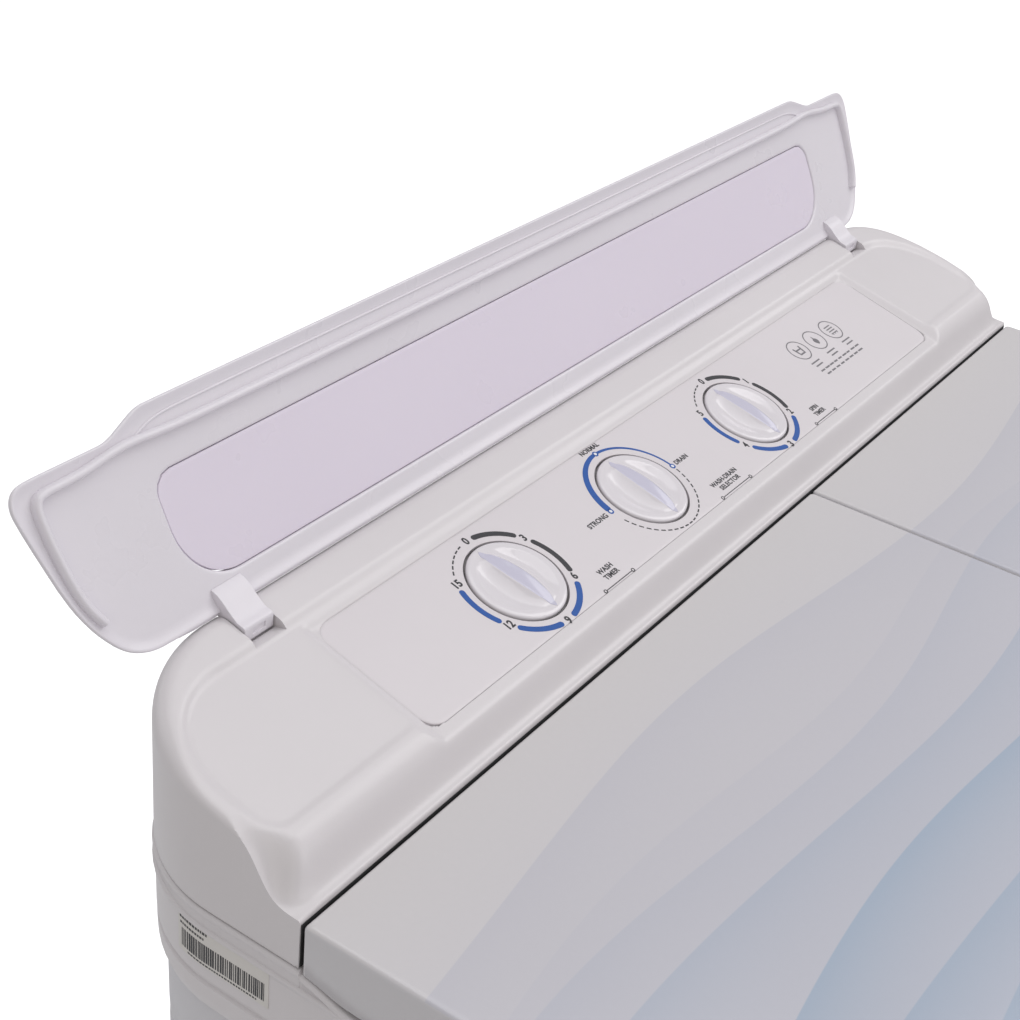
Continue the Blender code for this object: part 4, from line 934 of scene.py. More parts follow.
def print_symbols():
    """Three ringed signs: a tub, a drop and a grid."""
    signs = []
    for k, (u, v) in enumerate(SYMBOLS):
        signs += ring_outline(u, v, 9.1, 9.9, 30)
        if k == 0:
            signs.append([(u + x, v + y) for x, y in TUB_SIGN])
            signs.append(bar(u - 3.0, u + 3.0, v + 0.6, 1.2))
        elif k == 1:
            angles = [2 * pi * i / 24 for i in range(24)]
            signs.append([(u + 2.7 * sin(a) * (1 - 0.45 * cos(a / 2) ** 4),
                           v - 1.4 - 3.0 * cos(a) + (2.9 if abs(a - pi) < 0.1 else 0))
                          for a in angles])
        else:
            signs += [bar(u - 4.2, u + 4.2, v + y, 0.9) for y in (-3.6, -1.2, 1.2, 3.6)]
            signs += [bar(u + x - 0.4, u + x + 0.4, v - 4.6, 0.8) for x in (-3, 0, 3)]
    stamp("print_symbols", signs, GREY_INK)


def print_rows():
    """Bars in place of small lettering: two below each sign, then two broken rows."""
    bars = []
    for u, _ in SYMBOLS:
        for row, width in enumerate((12.0, 9.5)):
            bars.append(bar(u - width / 2, u + width / 2, 38.0 - 3.6 * row, 1.1))
    rng = np.random.default_rng(7)
    for row, (width, count) in enumerate(((62.0, 9), (58.0, 8))):
        u = SYMBOLS[1][0] - width / 2
        for _ in range(count):
            length = width / count * (0.62 + 0.25 * rng.random())
            bars.append(bar(u, u + length, 29.4 - 4.4 * row, 1.3))
            u += width / count
    stamp("print_rows", bars, GREY_INK)


print_timer("wash", KNOB_U[0], ("0", "3", "6", "9", "12", "15"))
print_timer("spin", KNOB_U[2], ("0", "1", "2", "3", "4", "5"))
print_selector(KNOB_U[1])
print_captions()
print_symbols()
print_rows()

# ------------------------------------------------------------------------- knobs
# Local axes: p across the grip, q along it.
KNOB_INNER = 27.0                 # radius of the modelled top inside the rolled edge
SCOOP_R = 24.2
GRIP_HALF, GRIP_END = 5.4, 26.3
KNOB_ROWS = 71
SCOOP_STEPS = np.array((0.03, 0.07, 0.12, 0.18, 0.26, 0.36, 0.48, 0.6, 0.72, 0.84, 0.92,
                        0.97, 1.0))
RIM_STEPS = np.array((0.12, 0.3, 0.6, 1.0))
KNOB_SKIRT = ((27.8, 1.5), (28.5, 1.3), (28.95, 0.9), (29.15, 0.3), (29.2, -0.4),
              (29.0, -2.2), (28.4, -2.6))       # radius, height


def grip_taper(q):
    return max(0.0, 1 - (abs(q) / GRIP_END) ** 2)


def knob_height(p, q, grip):
    """Height of the top where the grip is 2 * grip wide."""
    r, a = sqrt(p * p + q * q), abs(p)
    rim_top = 1.55 + 0.3 * (1 - (r / 30.0) ** 2)
    grip_top = max(4.7 - 0.0042 * q * q - 1.2 * float(smooth((abs(q) - 19.0) / 7.3)),
                   rim_top + 0.12)
    if a <= grip:
        hollow = 0.35 * (1 - (a / grip) ** 2) * grip_taper(q)
        return grip_top - hollow - 0.22 * float(smooth((a / grip - 0.9) / 0.1))
    # steep shoulder, gentle bowl, crisp edge at the rim ring
    floor = rim_top - 1.9 * float(smooth((SCOOP_R - r) / 10.0)) ** 0.7
    fall = 1 - max(0.0, 1 - (a - grip) / 11.5) ** 2.3
    return max((grip_top - 0.22) * (1 - fall) + floor * fall, floor)


def knob_row(q):
    reach = sqrt(max(0.0, KNOB_INNER ** 2 - q * q))
    grip = min(GRIP_HALF * grip_taper(q) ** 0.62, 0.6 * reach)
    grip = max(grip, 0.02 * reach + 1e-4)
    scoop = sqrt(max(0.0, SCOOP_R ** 2 - q * q))
    scoop = min(max(scoop, grip + 0.3 * (reach - grip)), grip + 0.9 * (reach - grip))
    half = [*np.linspace(0, grip * 0.9, 6), grip * 0.97, grip,
            *(grip + (scoop - grip) * SCOOP_STEPS), *(scoop + (reach - scoop) * RIM_STEPS)]
    return [(p, q, knob_height(p, q, grip)) for p in [-p for p in half[:0:-1]] + half]


def build_knob(name, knob_u, body, node, turn):
    """Low disc: rim ring, two finger scoops and a lens-shaped grip between them."""
    rows = [knob_row(-KNOB_INNER * cos(pi * i / (KNOB_ROWS - 1))) for i in range(KNOB_ROWS)]
    n = len(rows[0])
    verts = [point for row in rows for point in row]
    faces = [(i * n + j, i * n + j + 1, (i + 1) * n + j + 1, (i + 1) * n + j)
             for i in range(KNOB_ROWS - 1) for j in range(n - 1)]
    border = [i * n + n - 1 for i in range(KNOB_ROWS)]
    border += [i * n for i in range(KNOB_ROWS - 2, 0, -1)]
    count = len(border)
    upper = border
    for radius, height in KNOB_SKIRT:
        lower = [len(verts) + m for m in range(count)]
        for k in border:
            a = atan2(verts[k][1], verts[k][0])
            verts.append((radius * cos(a), radius * sin(a), height))
        for m in range(count):
            following = (m + 1) % count
            faces.append((upper[m], lower[m], lower[following], upper[following]))
        upper = lower
    faces.append(tuple(upper[::-1]))
    # the grip face takes the second material, a darker bluer copy of the knob plastic: painted
    # shade
    face_mats = []
    for face in faces:
        p, q = (sum(verts[k][axis] for k in face) / len(face) for axis in (0, 1))
        on_grip = abs(p) < GRIP_HALF * grip_taper(q) ** 0.62 and abs(q) < 26.2
        face_mats.append(int(on_grip and verts[face[0]][2] > 0))
    c, s = cos(turn), sin(turn)
    verts = [on_panel(knob_u + p * c - q * s, KNOB_V + p * s + q * c, h) for p, q, h in verts]
    knob = piece(name, (verts, faces), [KNOB, KNOB_GRIP_SHADE], body, sharp=50,
                 face_mats=face_mats)
    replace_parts(knob, node)


build_knob("wash_timer_grip", KNOB_U[0], "wash_timer_knob", "wash_timer_knob", turn=0.09)
build_knob("selector_grip", KNOB_U[1], "selector_knob", "wash_drain_selector_knob", turn=0.0)
build_knob("spin_timer_grip", KNOB_U[2], "spin_timer_knob", "spin_timer_knob", turn=0.05)

# ----------------------------------------------------------------- console cover
# Right half of the cover outline (x, s), from the bottom centre to the top centre
COVER_HALF = (
    [(x, 5.0) for x in (0.0, 60, 120, 180, 240, 300, 350, 372)]
    + [(385, 5.6), (395, 9.0), (402.5, 14.5), (409, 23), (413.5, 30.5), (418, 40.5),
       (421.5, 52), (424.5, 66), (427.5, 80), (429.3, 90), (429.6, 95), (428.3, 99.6),
       (425.4, 102.9), (421, 104.6)]
    + [(x, 105.0) for x in (414, 407, 400, 392, 384, 378)]
    + [(x, 105 + 9.5 * smooth((373 - x) / 33.0)) for x in np.linspace(373, 340, 12)]
    + [(x, 114.5) for x in (310, 260, 200, 140, 70, 0)])
# The ribs on the front face, left or right half (x, s) up to the middle
COVER_RIB = [
    (-405.5, 29.5), (-409.5, 36), (-412.9, 44), (-415.7, 58), (-417.3, 75), (-417.6, 88),
    (-416.6, 94.0), (-412.5, 96.6), (-398, 96.7), (-384, 97.4), (-371, 99.4), (-358, 100.2),
    (-344, 99.4), (-322, 98.2), (-240, 98.0), (0, 97.6)]
COVER_STEP = [(-352, 101.0), (-346, 103.6), (-338, 105.8), (-328, 106.8), (-300, 106.9),
              (-150, 106.9), (0, 106.9)]
# Lower edge (x, s) of the strip along the root
COVER_STRIP = [(-386, 11.6), (-382, 8.4), (-376, 5.8), (-368, 4.3), (-358, 3.7), (-180, 3.7),
               (0, 3.7)]
# Side view (y, z) of a hinge lug about its axis
LUG_PROFILE = (
    (19.0, 17.6), (15.0, 16.2), (11.5, 13.9), (8.2, 11.0), (5.0, 8.4), (2.0, 6.2),
    (-0.4, 5.5), (-2.4, 5.1), (-3.3, 4.5), (-3.7, 3.4), (-3.7, -3.2), (-3.1, -4.2),
    (-1.8, -4.6), (2.2, -4.6), (6.0, -1.6), (9.4, 1.6), (13.2, 2.4), (16.4, 8.0), (20.2, 15.2))


def chaikin(points, rounds):
    """Round a polyline by cutting its corners, keeping its ends."""
    points = np.array(points, float)
    for _ in range(rounds):
        cuts = np.empty((2 * len(points) - 2, 2))
        cuts[0::2] = points[:-1] * 0.75 + points[1:] * 0.25
        cuts[1::2] = points[:-1] * 0.25 + points[1:] * 0.75
        points = np.vstack([points[:1], cuts, points[-1:]])
    return points


def arc_lengths(points):
    return np.concatenate(([0], np.cumsum(np.hypot(*np.diff(points, axis=0).T))))


def close_left(right):
    """Full outline from its right half."""
    return np.vstack([right, right[::-1][1:-1] * np.array([-1, 1])])


def cover_right():
    """Rounded right half, dense where it bends and sparse along the straights."""
    half = chaikin(COVER_HALF, 2)
    keep = [half[0]]
    for i in range(1, len(half) - 1):
        before, after = half[i] - keep[-1], half[i + 1] - half[i]
        bend = abs(atan2(before[0] * after[1] - before[1] * after[0], before @ after))
        if bend > 0.035 or np.hypot(*before) > 9.0:
            keep.append(half[i])
    keep.append(half[-1])
    return np.array(keep)


RIGHT_HALF = cover_right()
COVER_OUTLINE = close_left(RIGHT_HALF)


def cover_inset(distance):
    """Cover outline offset inwards."""
    along = np.roll(COVER_OUTLINE, -1, 0) - np.roll(COVER_OUTLINE, 1, 0)
    along /= np.maximum(1e-9, np.hypot(*along.T))[:, None]
    return COVER_OUTLINE + np.stack([-along[:, 1], along[:, 0]], 1) * distance


def window_outline(ins):
    """Window outline with its points paired to those of the cover outline."""
    side, bottom, top = 350 - ins, 20 + ins, 80.5 - ins
    bottom_r, top_r = 33.0, 12.0
    half = [(0, bottom)]
    half += [(side - bottom_r + bottom_r * sin(a), bottom + bottom_r - bottom_r * cos(a))
             for a in np.linspace(0, pi / 2, 16)]
    half += [(side - top_r + top_r * cos(a), top - top_r + top_r * sin(a))
             for a in np.linspace(0, pi / 2, 10)]
    half = np.array(half + [(0, top)], float)
    window_at, cover_at = arc_lengths(half), arc_lengths(RIGHT_HALF)
    # paired by x along the straights, by arc length round the end
    xs = RIGHT_HALF[:, 0]
    low = np.argmax(xs > 372.5)
    high = len(xs) - np.argmax(xs[::-1] > 399.0)
    start, end = window_at[1], window_at[-2]
    at = []
    for q, x in enumerate(xs):
        if q < low:
            at.append(start * x / xs[low])
        elif q < high:
            at.append(start + (end - start) * (cover_at[q] - cover_at[low])
                      / (cover_at[high] - cover_at[low]))
        else:
            at.append(end + (window_at[-1] - end) * (1 - x / xs[high]))
    return close_left(np.stack([np.interp(at, window_at, half[:, k]) for k in (0, 1)], 1))


def cover_loop(outline, t):
    return [on_cover(x, s, t) for x, s in outline]


def cover_shell():
    """Closed skin: front face outwards from the window, round the edge, back face in."""
    def from_window(*table):
        return [cover_loop(window_outline(ins), t) for ins, t in table]

    def from_edge(*table):
        return [cover_loop(cover_inset(ins), t) for ins, t in table]

    loops = from_window((0.0, -12.2), (0.0, -10.6), (-0.15, -10.2), (-0.2, -7.1),
                        (-0.5, -6.5), (-1.0, -6.22), (-1.8, -6.1))
    inner, outer = window_outline(-1.8), cover_inset(7.0)
    loops += [cover_loop(inner * (1 - f) + outer * f, -6.1)
              for f in (0.15, 0.35, 0.6, 0.82, 0.94)]
    loops += from_edge((7.0, -6.1), (5.2, -5.85), (3.4, -5.35), (1.9, -4.8), (1.0, -4.5),
                       (0.35, -4.65), (0.06, -5.1), (0.0, -6.0), (0.25, -6.9), (0.9, -7.9),
                       (1.9, -8.6), (3.4, -9.0), (6.0, -9.2))
    outer, inner = cover_inset(6.0), window_outline(-3.0)
    loops += [cover_loop(outer * (1 - f) + inner * f, -9.2 - 0.5 * sin(pi * f / 2))
              for f in (0.2, 0.5, 0.8)]
    loops += from_window((-3.0, -9.8), (-1.6, -10.2), (-1.0, -11.4), (-0.6, -12.0))
    shell = piece("cover_shell", loft(loops, closed=True), COVER,
                  "console_cover", sharp=50)
    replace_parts(shell, "console_cover")


def cover_window():
    levels = ((2.5, -12.5), (1.2, -12.5), (0.6, -12.3), (0.35, -11.9), (0.3, -7.6),
              (0.5, -7.2), (1.1, -7.05), (2.5, -7.0))       # inset, t
    window = piece("cover_window", loft([cover_loop(window_outline(i), t) for i, t in levels]),
                   WINDOW, "console_cover")


def cover_ribbon(name, points, width, height, base=-6.3):
    """Rounded rib along a line on the front face, thinning at its ends."""
    line = chaikin(points, 3)
    profile = ((-0.5, 0.0), (-0.47, 0.55), (-0.36, 0.86), (-0.15, 1.0), (0.15, 1.0),
               (0.36, 0.86), (0.47, 0.55), (0.5, 0.0))
    along = np.gradient(line, axis=0)
    along /= np.hypot(*along.T)[:, None]
    across = np.stack([-along[:, 1], along[:, 0]], 1)
    loops = []
    for k in range(len(line)):
        full = min(1.0, 0.25 + 0.75 * min(k, len(line) - 1 - k) / 3.0)
        loops.append([on_cover(*(line[k] + across[k] * width * p * min(1, full + 0.3)),
                               base + height * q * full) for p, q in profile])
    piece(name, loft(loops), COVER, "console_cover", sharp=50)


def cover_root_strip():
    """Strip closing the cover down to the console rim."""
    loops = []
    for x, low in mirrored(COVER_STRIP):
        loops.append([on_cover(x, s, t) for s, t in (
            (low + 0.5, -9.15), (low + 0.1, -8.8), (low, -8.2), (low, -6.9),
            (low + 0.15, -6.4), (low + 0.6, -6.12), (14.5, -6.12), (14.5, -9.15))])
    piece("cover_root_strip", loft(loops), COVER, "console_cover", sharp=50)


def cover_hinge(x, tag):
    """Lug on the cover and the steel pin through it."""
    y, z = COVER_AXIS
    lug = piece("cover_lug_" + tag, prism(LUG_PROFILE, COVER_AXIS, (x - 10.4, x + 10.4)),
                COVER, "console_cover")
    cut(lug, tube([(x - 12, y, z), (x + 12, y, z)], 2.2, 20))
    cut(lug, box((x - 4.6, y - 6.4, z - 0.9), (x + 4.6, y - 2.75, z + 2.6)))
    bevel(lug, 0.45, 3, angle=30)
    path = [(x + dx, y, z) for dx in (-12.6, -12.3, 12.3, 12.6)]
    pin = piece("cover_hinge_pin_" + tag, tube(path, [1.5, 1.9, 1.9, 1.5], 28), STEEL)
    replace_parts(pin, "cover_pin_" + tag)


cover_shell()
cover_window()
cover_ribbon("cover_rib", mirrored(COVER_RIB), width=4.4, height=4.9)
cover_ribbon("cover_step", mirrored(COVER_STEP), width=1.4, height=1.0)
cover_root_strip()
for lug_x, tag in zip(LUG_X, ("left", "right")):
    cover_hinge(lug_x, tag)

# -------------------------------------------------------------------------- lids
# Section of a lid. Underside and top: (inset, height over the deck);
# skirt: (inset, lift over its lower edge)
LID_UNDER = ((6.0, -3.0), (3.4, -3.05), (2.9, -3.6), (2.6, -6.0))
LID_SKIRT = ((2.5, 0.5), (2.2, 0.1), (1.3, 0.0), (0.4, 0.1), (0.1, 0.5))
LID_OVER = ((0.0, -6.0), (0.0, -2.8), (0.2, -1.75), (0.8, -0.8), (1.7, -0.2), (2.8, 0.0),
            (5.0, 0.0))
# Skirt edge rising at the outer rear corner: y from the console front, height
SKIRT_RISE = ((-36, -34.6), (-28, -34.5), (-22, -33.9), (-16, -32.6), (-10, -31.1),
              (-5, -30.3), (-1.6, -29.8))


def lid_outline(left, right, side, ins):
    """Plan outline with extra points where the skirt edge changes height."""
    x0, x1, y0, y1 = left + ins, right - ins, LID_FRONT + ins, LID_REAR - ins
    rear_r, front_r = 2.3, max(2.2, 8.0 - ins)
    points = []
    for q, (cx, cy, r) in enumerate((
            (x1 - rear_r, y1 - rear_r, rear_r), (x0 + rear_r, y1 - rear_r, rear_r),
            (x0 + front_r, y0 + front_r, front_r), (x1 - front_r, y0 + front_r, front_r))):
        for i in range(9):
            a = (q + i / 8.0) * pi / 2
            points.append((cx + r * cos(a), cy + r * sin(a)))
    breaks = ([LID_SEAM_X + side * 14, LID_SEAM_X + side * 19, side * (HALF_W - 9.6),
               side * (HALF_W - 10.8)],
              [LID_REAR - k for k in (34.4, 26.4, 20.4, 14.4, 12.6, 11.4, 8.8)])
    outline = []
    for a, b in zip(points, points[1:] + points[:1]):
        outline.append(a)
        for axis in (0, 1):
            if abs(a[axis] - b[axis]) > 100:
                for at in sorted(breaks[axis], reverse=a[axis] > b[axis]):
                    t = (at - a[axis]) / (b[axis] - a[axis])
                    outline.append((a[0] + (b[0] - a[0]) * t, a[1] + (b[1] - a[1]) * t))
    return outline


def skirt_edge(x, y):
    """Height of the lower skirt edge over the deck."""
    if y > LID_REAR - 40 and abs(x) > HALF_W - 10:
        return float(np.interp(y - CONSOLE_Y, *zip(*SKIRT_RISE)))
    if y > LID_REAR - 12:
        return -10.0
    if abs(x - LID_SEAM_X) < 16:
        return -12.0
    return -34.6


def lid_hinge(name, lid, k, x):
    """Eye and pad of one lid hinge, beside the ear at x."""
    side = 1 if k == 0 else -1
    x0, x1 = sorted((x + side * 4.7, x + side * 12.3))
    y = LID_AXIS[0]
    eye = piece(f"{name}_hinge_eye_{k}", tube([(x0, *LID_AXIS), (x1, *LID_AXIS)], 3.1, 28),
                WHITE, lid)
    cut(eye, tube([(x0 - 2, *LID_AXIS), (x1 + 2, *LID_AXIS)], 1.65, 20))
    bevel(eye, 0.4, 2)
    pad = box((x0, y - 2.6, DECK_Z - 4.4), (x1, y + 2.6, DECK_Z - 2.6))
    bevel(piece(f"{name}_hinge_pad_{k}", pad, WHITE, lid), 0.4, 2)


def build_lid(tag, left, right, side, long_ribs):
    """Lid shell, stiffening ribs below it and hinges; side is -1 left, 1 right."""
    name = tag + "_lid"

    def outline(ins):
        return lid_outline(left, right, side, ins)

    def flat(table):
        return [[(x, y, DECK_Z + z) for x, y in outline(ins)] for ins, z in table]

    skirt = [[(x, y, DECK_Z + skirt_edge(x, y) + lift) for x, y in outline(ins)]
             for ins, lift in LID_SKIRT]
    shell = piece(name + "_shell", loft(flat(LID_UNDER) + skirt + flat(LID_OVER)), LID,
                  name, sharp=38)
    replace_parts(shell, name)
    x0, x1, y0, y1 = left + 22, right - 22, LID_FRONT + 22, LID_REAR - 26
    for k in range(3):
        y = y0 + (y1 - y0) * (k + 0.5) / 3
        rib = box((x0, y - 1.1, DECK_Z - 9.0), (x1, y + 1.1, DECK_Z - 2.6))
        bevel(piece(f"{name}_rib_x{k}", rib, WHITE, name), 0.7, 2)
    for k in range(long_ribs):
        x = x0 + (x1 - x0) * (k + 0.5) / long_ribs
        rib = box((x - 1.1, y0, DECK_Z - 8.4), (x + 1.1, y1, DECK_Z - 2.6))
        bevel(piece(f"{name}_rib_y{k}", rib, WHITE, name), 0.7, 2)
    for x in LID_HINGE_X[tag]:
        cut(shell, box((x - 4.6, LID_AXIS[0] - 9.0, DECK_Z - 20.0),
                       (x + 4.6, LID_AXIS[0] + 12.0, DECK_Z - 3.4)))
    sharpen(shell, 38)
    for k, x in enumerate(LID_HINGE_X[tag]):
        lid_hinge(name, name, k, x)


build_lid("wash", -HALF_W, LID_SEAM_X - 0.9, side=-1, long_ribs=3)
build_lid("spin", LID_SEAM_X + 0.9, HALF_W, side=1, long_ribs=2)


# --------------------------------------------------------------------- top frame
def plan_outline(ins, steps=16):
    """Outline of the machine in plan, inset all round."""
    half, front, rear = HALF_W - ins, LID_FRONT + ins, BACK_Y - ins
    points = []
    for q, (side, edge, inward, radius) in enumerate((
            (1, rear, -1, REAR_R[1]), (-1, rear, -1, REAR_R[0]),
            (-1, front, 1, FRONT_R), (1, front, 1, FRONT_R))):
        radius = max(3.0, radius - ins)
        cy = edge + inward * radius
        for i in range(steps + 1):
            a = q * pi / 2 + i * pi / 2 / steps
            points.append((side * (half - radius) + radius * cos(a), cy + radius * sin(a)))
    return points


def plan_loops(table, base=0.0):
    """Plan outlines from (inset, z over the base) rows."""
    return [[(x, y, base + z) for x, y in plan_outline(ins)] for ins, z in table]


def top_frame():
    loops = plan_loops(((5.2, 835), (3.2, 836.2), (1.6, 841), (1.2, 846), (1.1, 852),
                        (2.4, 853.4), (2.4, 855.6), (0.9, 857), (0.6, 884)))
    loops += plan_loops(((0.6, -43.5), (0.1, -42.8), (-0.6, -41.8), (-0.9, -40.8),
                         (-0.6, -39.8), (0.2, -39.0), (1.4, -38.5), (4.4, -38.5),
                         (30, -38.5)), DECK_Z)
    top = piece("top_frame_shell", loft(loops), WHITE, sharp=35)
    cut(top, loft(plan_loops(((8.4, 800), (4.6, 846), (3.8, DECK_Z - 42.0)))))
    cut(top, loft([round_rect(WASH_CX, WASH_CY, z, WASH_HX - 4, WASH_HY - 4, 41, 14)
                   for z in (870, 910)]))
    cut(top, loft([circle(SPIN_CX, SPIN_CY, z, OUTER_R - 3.7, 112) for z in (870, 910)]))
    cut(top, box((-330, 112, 870), (330, 190, 900)))
    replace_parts(top, "top_frame")


def console_collar():
    """Band round the sides and back between the frame and the console."""
    def path(ins):
        rear = [(x, y) for x, y in plan_outline(ins) if y > 60]
        return [(HALF_W - ins, CONSOLE_Y - 0.8), *rear, (-HALF_W + ins, CONSOLE_Y - 0.8)]

    outer, inner = path(0.3), path(5.6)
    section = ((0, -42), (0, -33.6), (-0.06, -32.8), (-0.18, -31.8), (-0.23, -30.7),
               (-0.17, -29.7), (-0.02, -28.9), (0.16, -28.5), (0.34, -28.4), (1, -28.4),
               (1, -42))                    # share of the way in, height over the deck
    loops = [[(a[0] * (1 - t) + b[0] * t, a[1] * (1 - t) + b[1] * t, DECK_Z + z)
              for a, b in zip(outer, inner)] for t, z in section]
    piece("console_collar", loft(loops, closed=True), WHITE)


# Top line of the shoulders: y from the console front, height over the deck
SHOULDER = (
    (-0.8, -28.6), (-1.25, -30.5), (-3, -30.8), (-5, -31.2), (-7.5, -31.7), (-10, -32.3),
    (-13, -33.2), (-16, -34.2), (-19, -35.2), (-22, -36.2), (-25, -37.0), (-28, -37.7),
    (-32, -38.2), (-38, -38.5))


def frame_shoulder(tag, side):
    """Side edge of the frame sweeping up to the collar."""
    loops = []
    for y, top in SHOULDER:
        section = ((0.45, -44), (0.45, top - 5.0), (0.0, top - 4.3), (-0.65, top - 3.3),
                   (-0.9, top - 2.3), (-0.6, top - 1.3), (0.2, top - 0.5), (1.4, top),
                   (7.0, top), (7.0, -44))  # inset, height
        loops.append([(side * (HALF_W - ins), CONSOLE_Y + y, DECK_Z + z)
                      for ins, z in section])
    piece("frame_shoulder_" + tag, loft(loops), WHITE, sharp=50)


EAR_PROFILE = ((-5.4, -33), (2.9, -33), (2.9, -11.3), (1.4, -9.4), (1.4, -7), (2.4, -1.2),
               (2.3, 1.0), (1.1, 2.2), (-0.6, 2.5), (-2.7, 1.9), (-5.4, -2))   # y, z
LIP = ((0.0, -0.3), (0.0, 1.6), (0.5, 2.4), (1.6, 2.8), (3.0, 2.6), (4.2, 1.6),
       (4.8, -0.3))                         # outward from the opening, z


def opening_lips():
    """Raised lips round the two openings in the frame."""
    loops = [round_rect(WASH_CX, WASH_CY, FRAME_Z + z, WASH_HX - 3.6 + out,
                        WASH_HY - 3.6 + out, 41.4 + out, 14) for out, z in LIP]
    piece("wash_opening_lip", loft(loops, closed=True), WHITE)
    profile = [(OUTER_R - 3.4 + out, FRAME_Z + z) for out, z in LIP]
    piece("spin_opening_lip", lathe(SPIN_CX, SPIN_CY, profile, 112, ring=True), WHITE)


top_frame()
console_collar()
frame_shoulder("left", -1)
frame_shoulder("right", 1)
for tag, hinges in LID_HINGE_X.items():
    for k, x in enumerate(hinges):
        ear = piece(f"{tag}_hinge_ear_{k}", prism(EAR_PROFILE, LID_AXIS, (x - 3.9, x + 3.9)),
                    WHITE)
        cut(ear, tube([(x - 6, *LID_AXIS), (x + 6, *LID_AXIS)], 1.65, 20))
        bevel(ear, 0.35, 2)
opening_lips()

# ----------------------------------------------------------------------- cabinet
GROOVE = ((-6, 0), (-4.6, 0.35), (-3.2, 1.3), (0, 1.7), (3.2, 1.3), (4.6, 0.35), (6, 0))


def cabinet_inset(z):
    """The walls draw in towards the floor."""
    return 6.0 + 12.0 * (1 - (z - 60.0) / 773.0)


def back_y(z):
    return BACK_Y - cabinet_inset(z)


def cabinet():
    levels = [(60, 0.6), (60.8, 0.1), (62, 0), (400, 0), (832, 0), (833, 0.3)]  # z, inset
    for middle in (96.0, 782.0):
        levels += [(middle + z, ins) for z, ins in GROOVE]
    levels = sorted(levels) + [(833, 3.0), (400, 3.0), (60, 3.0)]
    loops = plan_loops([(ins + cabinet_inset(z), z) for z, ins in levels])
    shell = piece("cabinet_shell", loft(loops, closed=True), CABINET, sharp=35)
    cut(shell, box((-300, BACK_Y - 40, 140), (300, BACK_Y + 10, 560)))
    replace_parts(shell, "cabinet_body")


def back_cover():
    """Zinc plate over the opening in the back."""
    levels = ((311.5, 0.4), (312, 0.8), (312, 2.2), (311.4, 2.8), (300, 2.9), (297, 1.4),
              (296, 1.2))                   # half width, distance off the wall
    middle = 350.0
    loops = [[(x, back_y(z + middle) + out, z + middle)
              for x, z, _ in round_rect(0, 0, 0, half, half - 90, 9, 8)]
             for half, out in levels]
    plate = piece("back_cover_plate", loft(loops), ZINC, sharp=30)
    cut(plate, tube([(HOSE_X, BACK_Y - 60, HOSE_Z), (HOSE_X, BACK_Y + 30, HOSE_Z)], 15.0, 40))
    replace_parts(plate, "back_cover")


def back_louvre(name, cx, cz, half=62.0, depth=5.2):
    """Louvre pressed out of the back plate."""
    wall = back_y(cz) + 1.2
    loops = []
    for t in np.linspace(0, pi, 15):
        rise = sin(t) ** 0.45
        section = (
            (-0.5, 7.5), (0.35 + 0.15 * rise, 7.5), (depth * 0.55 * rise + 0.4, 4.6),
            (depth * 0.92 * rise + 0.4, 1.0), (depth * rise + 0.4, -1.2),
            ((depth - 1.1) * rise + 0.3, -1.5), (-0.5, -0.6))       # off the wall, z
        loops.append([(cx - half * cos(t), wall + out, cz + z) for out, z in section])
    piece(name, loft(loops), ZINC, sharp=50)


def hose_grommet():
    section = ((13.4, -1.0), (13.4, 4.2), (14.2, 4.8), (18.0, 4.6), (19.0, 3.6),
               (19.0, 2.95), (14.8, 2.9), (14.8, -1.0))     # radius, distance off the wall
    loops = [[(x, back_y(HOSE_Z) + out, z) for x, z in disc(HOSE_X, HOSE_Z, radius, 40)]
             for radius, out in section]
    piece("hose_grommet", loft(loops, closed=True), RUBBER)


cabinet()
back_cover()
for column, x in enumerate((-170.0, 0.0, 170.0)):
    for row in range(6):
        back_louvre(f"back_louvre_{column}_{row}", x, 330.0 + 26.0 * row)
hose_grommet()

# Base tray: (inset, z); feet: (radius, z)
TRAY_LEVELS = ((24.0, 30), (22.2, 31.5), (21.6, 34), (18.6, 56.5), (18.2, 59.7), (24.0, 59.7),
               (28.0, 34))
FOOT_PROFILE = (
    (0, 0.9), (13, 0.9), (14, 0.0), (19.4, 0.0), (20.6, 0.9), (21, 2.2), (21, 9.0),
    (20.4, 10.3), (19, 11.0), (15.2, 12.6), (14.2, 14.4), (14, 16), (14, 29.7), (0, 29.7))

tray = piece("base_tray_shell", loft(plan_loops(TRAY_LEVELS)), BASE, sharp=35)
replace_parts(tray, "base_tray")
for row, y in (("front", LID_FRONT + 66), ("rear", CONSOLE_Y + 70)):
    for side, x in (("left", -360), ("right", 360)):
        foot = piece(f"foot_{row}_{side}_pad", lathe(x, y, FOOT_PROFILE, 48), RUBBER)
        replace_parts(foot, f"foot_{row}_{side}")

# ---------------------------------------------------------------------- wash tub
# Rings up the outside, over the rim and down the inside: (z, inset, flute depth)
TUB_RINGS = (
    (TUB_Z + 6, 2.2, 0), (TUB_Z + 20, 0, 0), (885.0, 4.6, 0), (DECK_Z - 37.8, 4.6, 0),
    (DECK_Z - 37.6, 5.0, 0), (DECK_Z - 37.6, 6.6, 0), (DECK_Z - 38.2, 7.1, 0),
    (884, 7.4, 0), (868, 7.4, 0), (860, 7.4, 0), (850, 7.4, 0),
    (838, 6.4, 0.6), (824, 6.4, 1.5), (740, 6.4, 1.6), (620, 5.6, 1.6), (520, 5.6, 1.5),
    (500, 5.6, 0.6), (488, 4.6, 0), (452, 3.6, 0), (440, 4.2, 0), (431, 6.2, 0),
    (422, 11.0, 0), (416, 18.0, 0), (412.4, 28.0, 0))


def tub_rect(z, half_x, half_y, radius):
    return round_rect(WASH_CX, WASH_CY, z, half_x, half_y, radius, 10, splits=60)


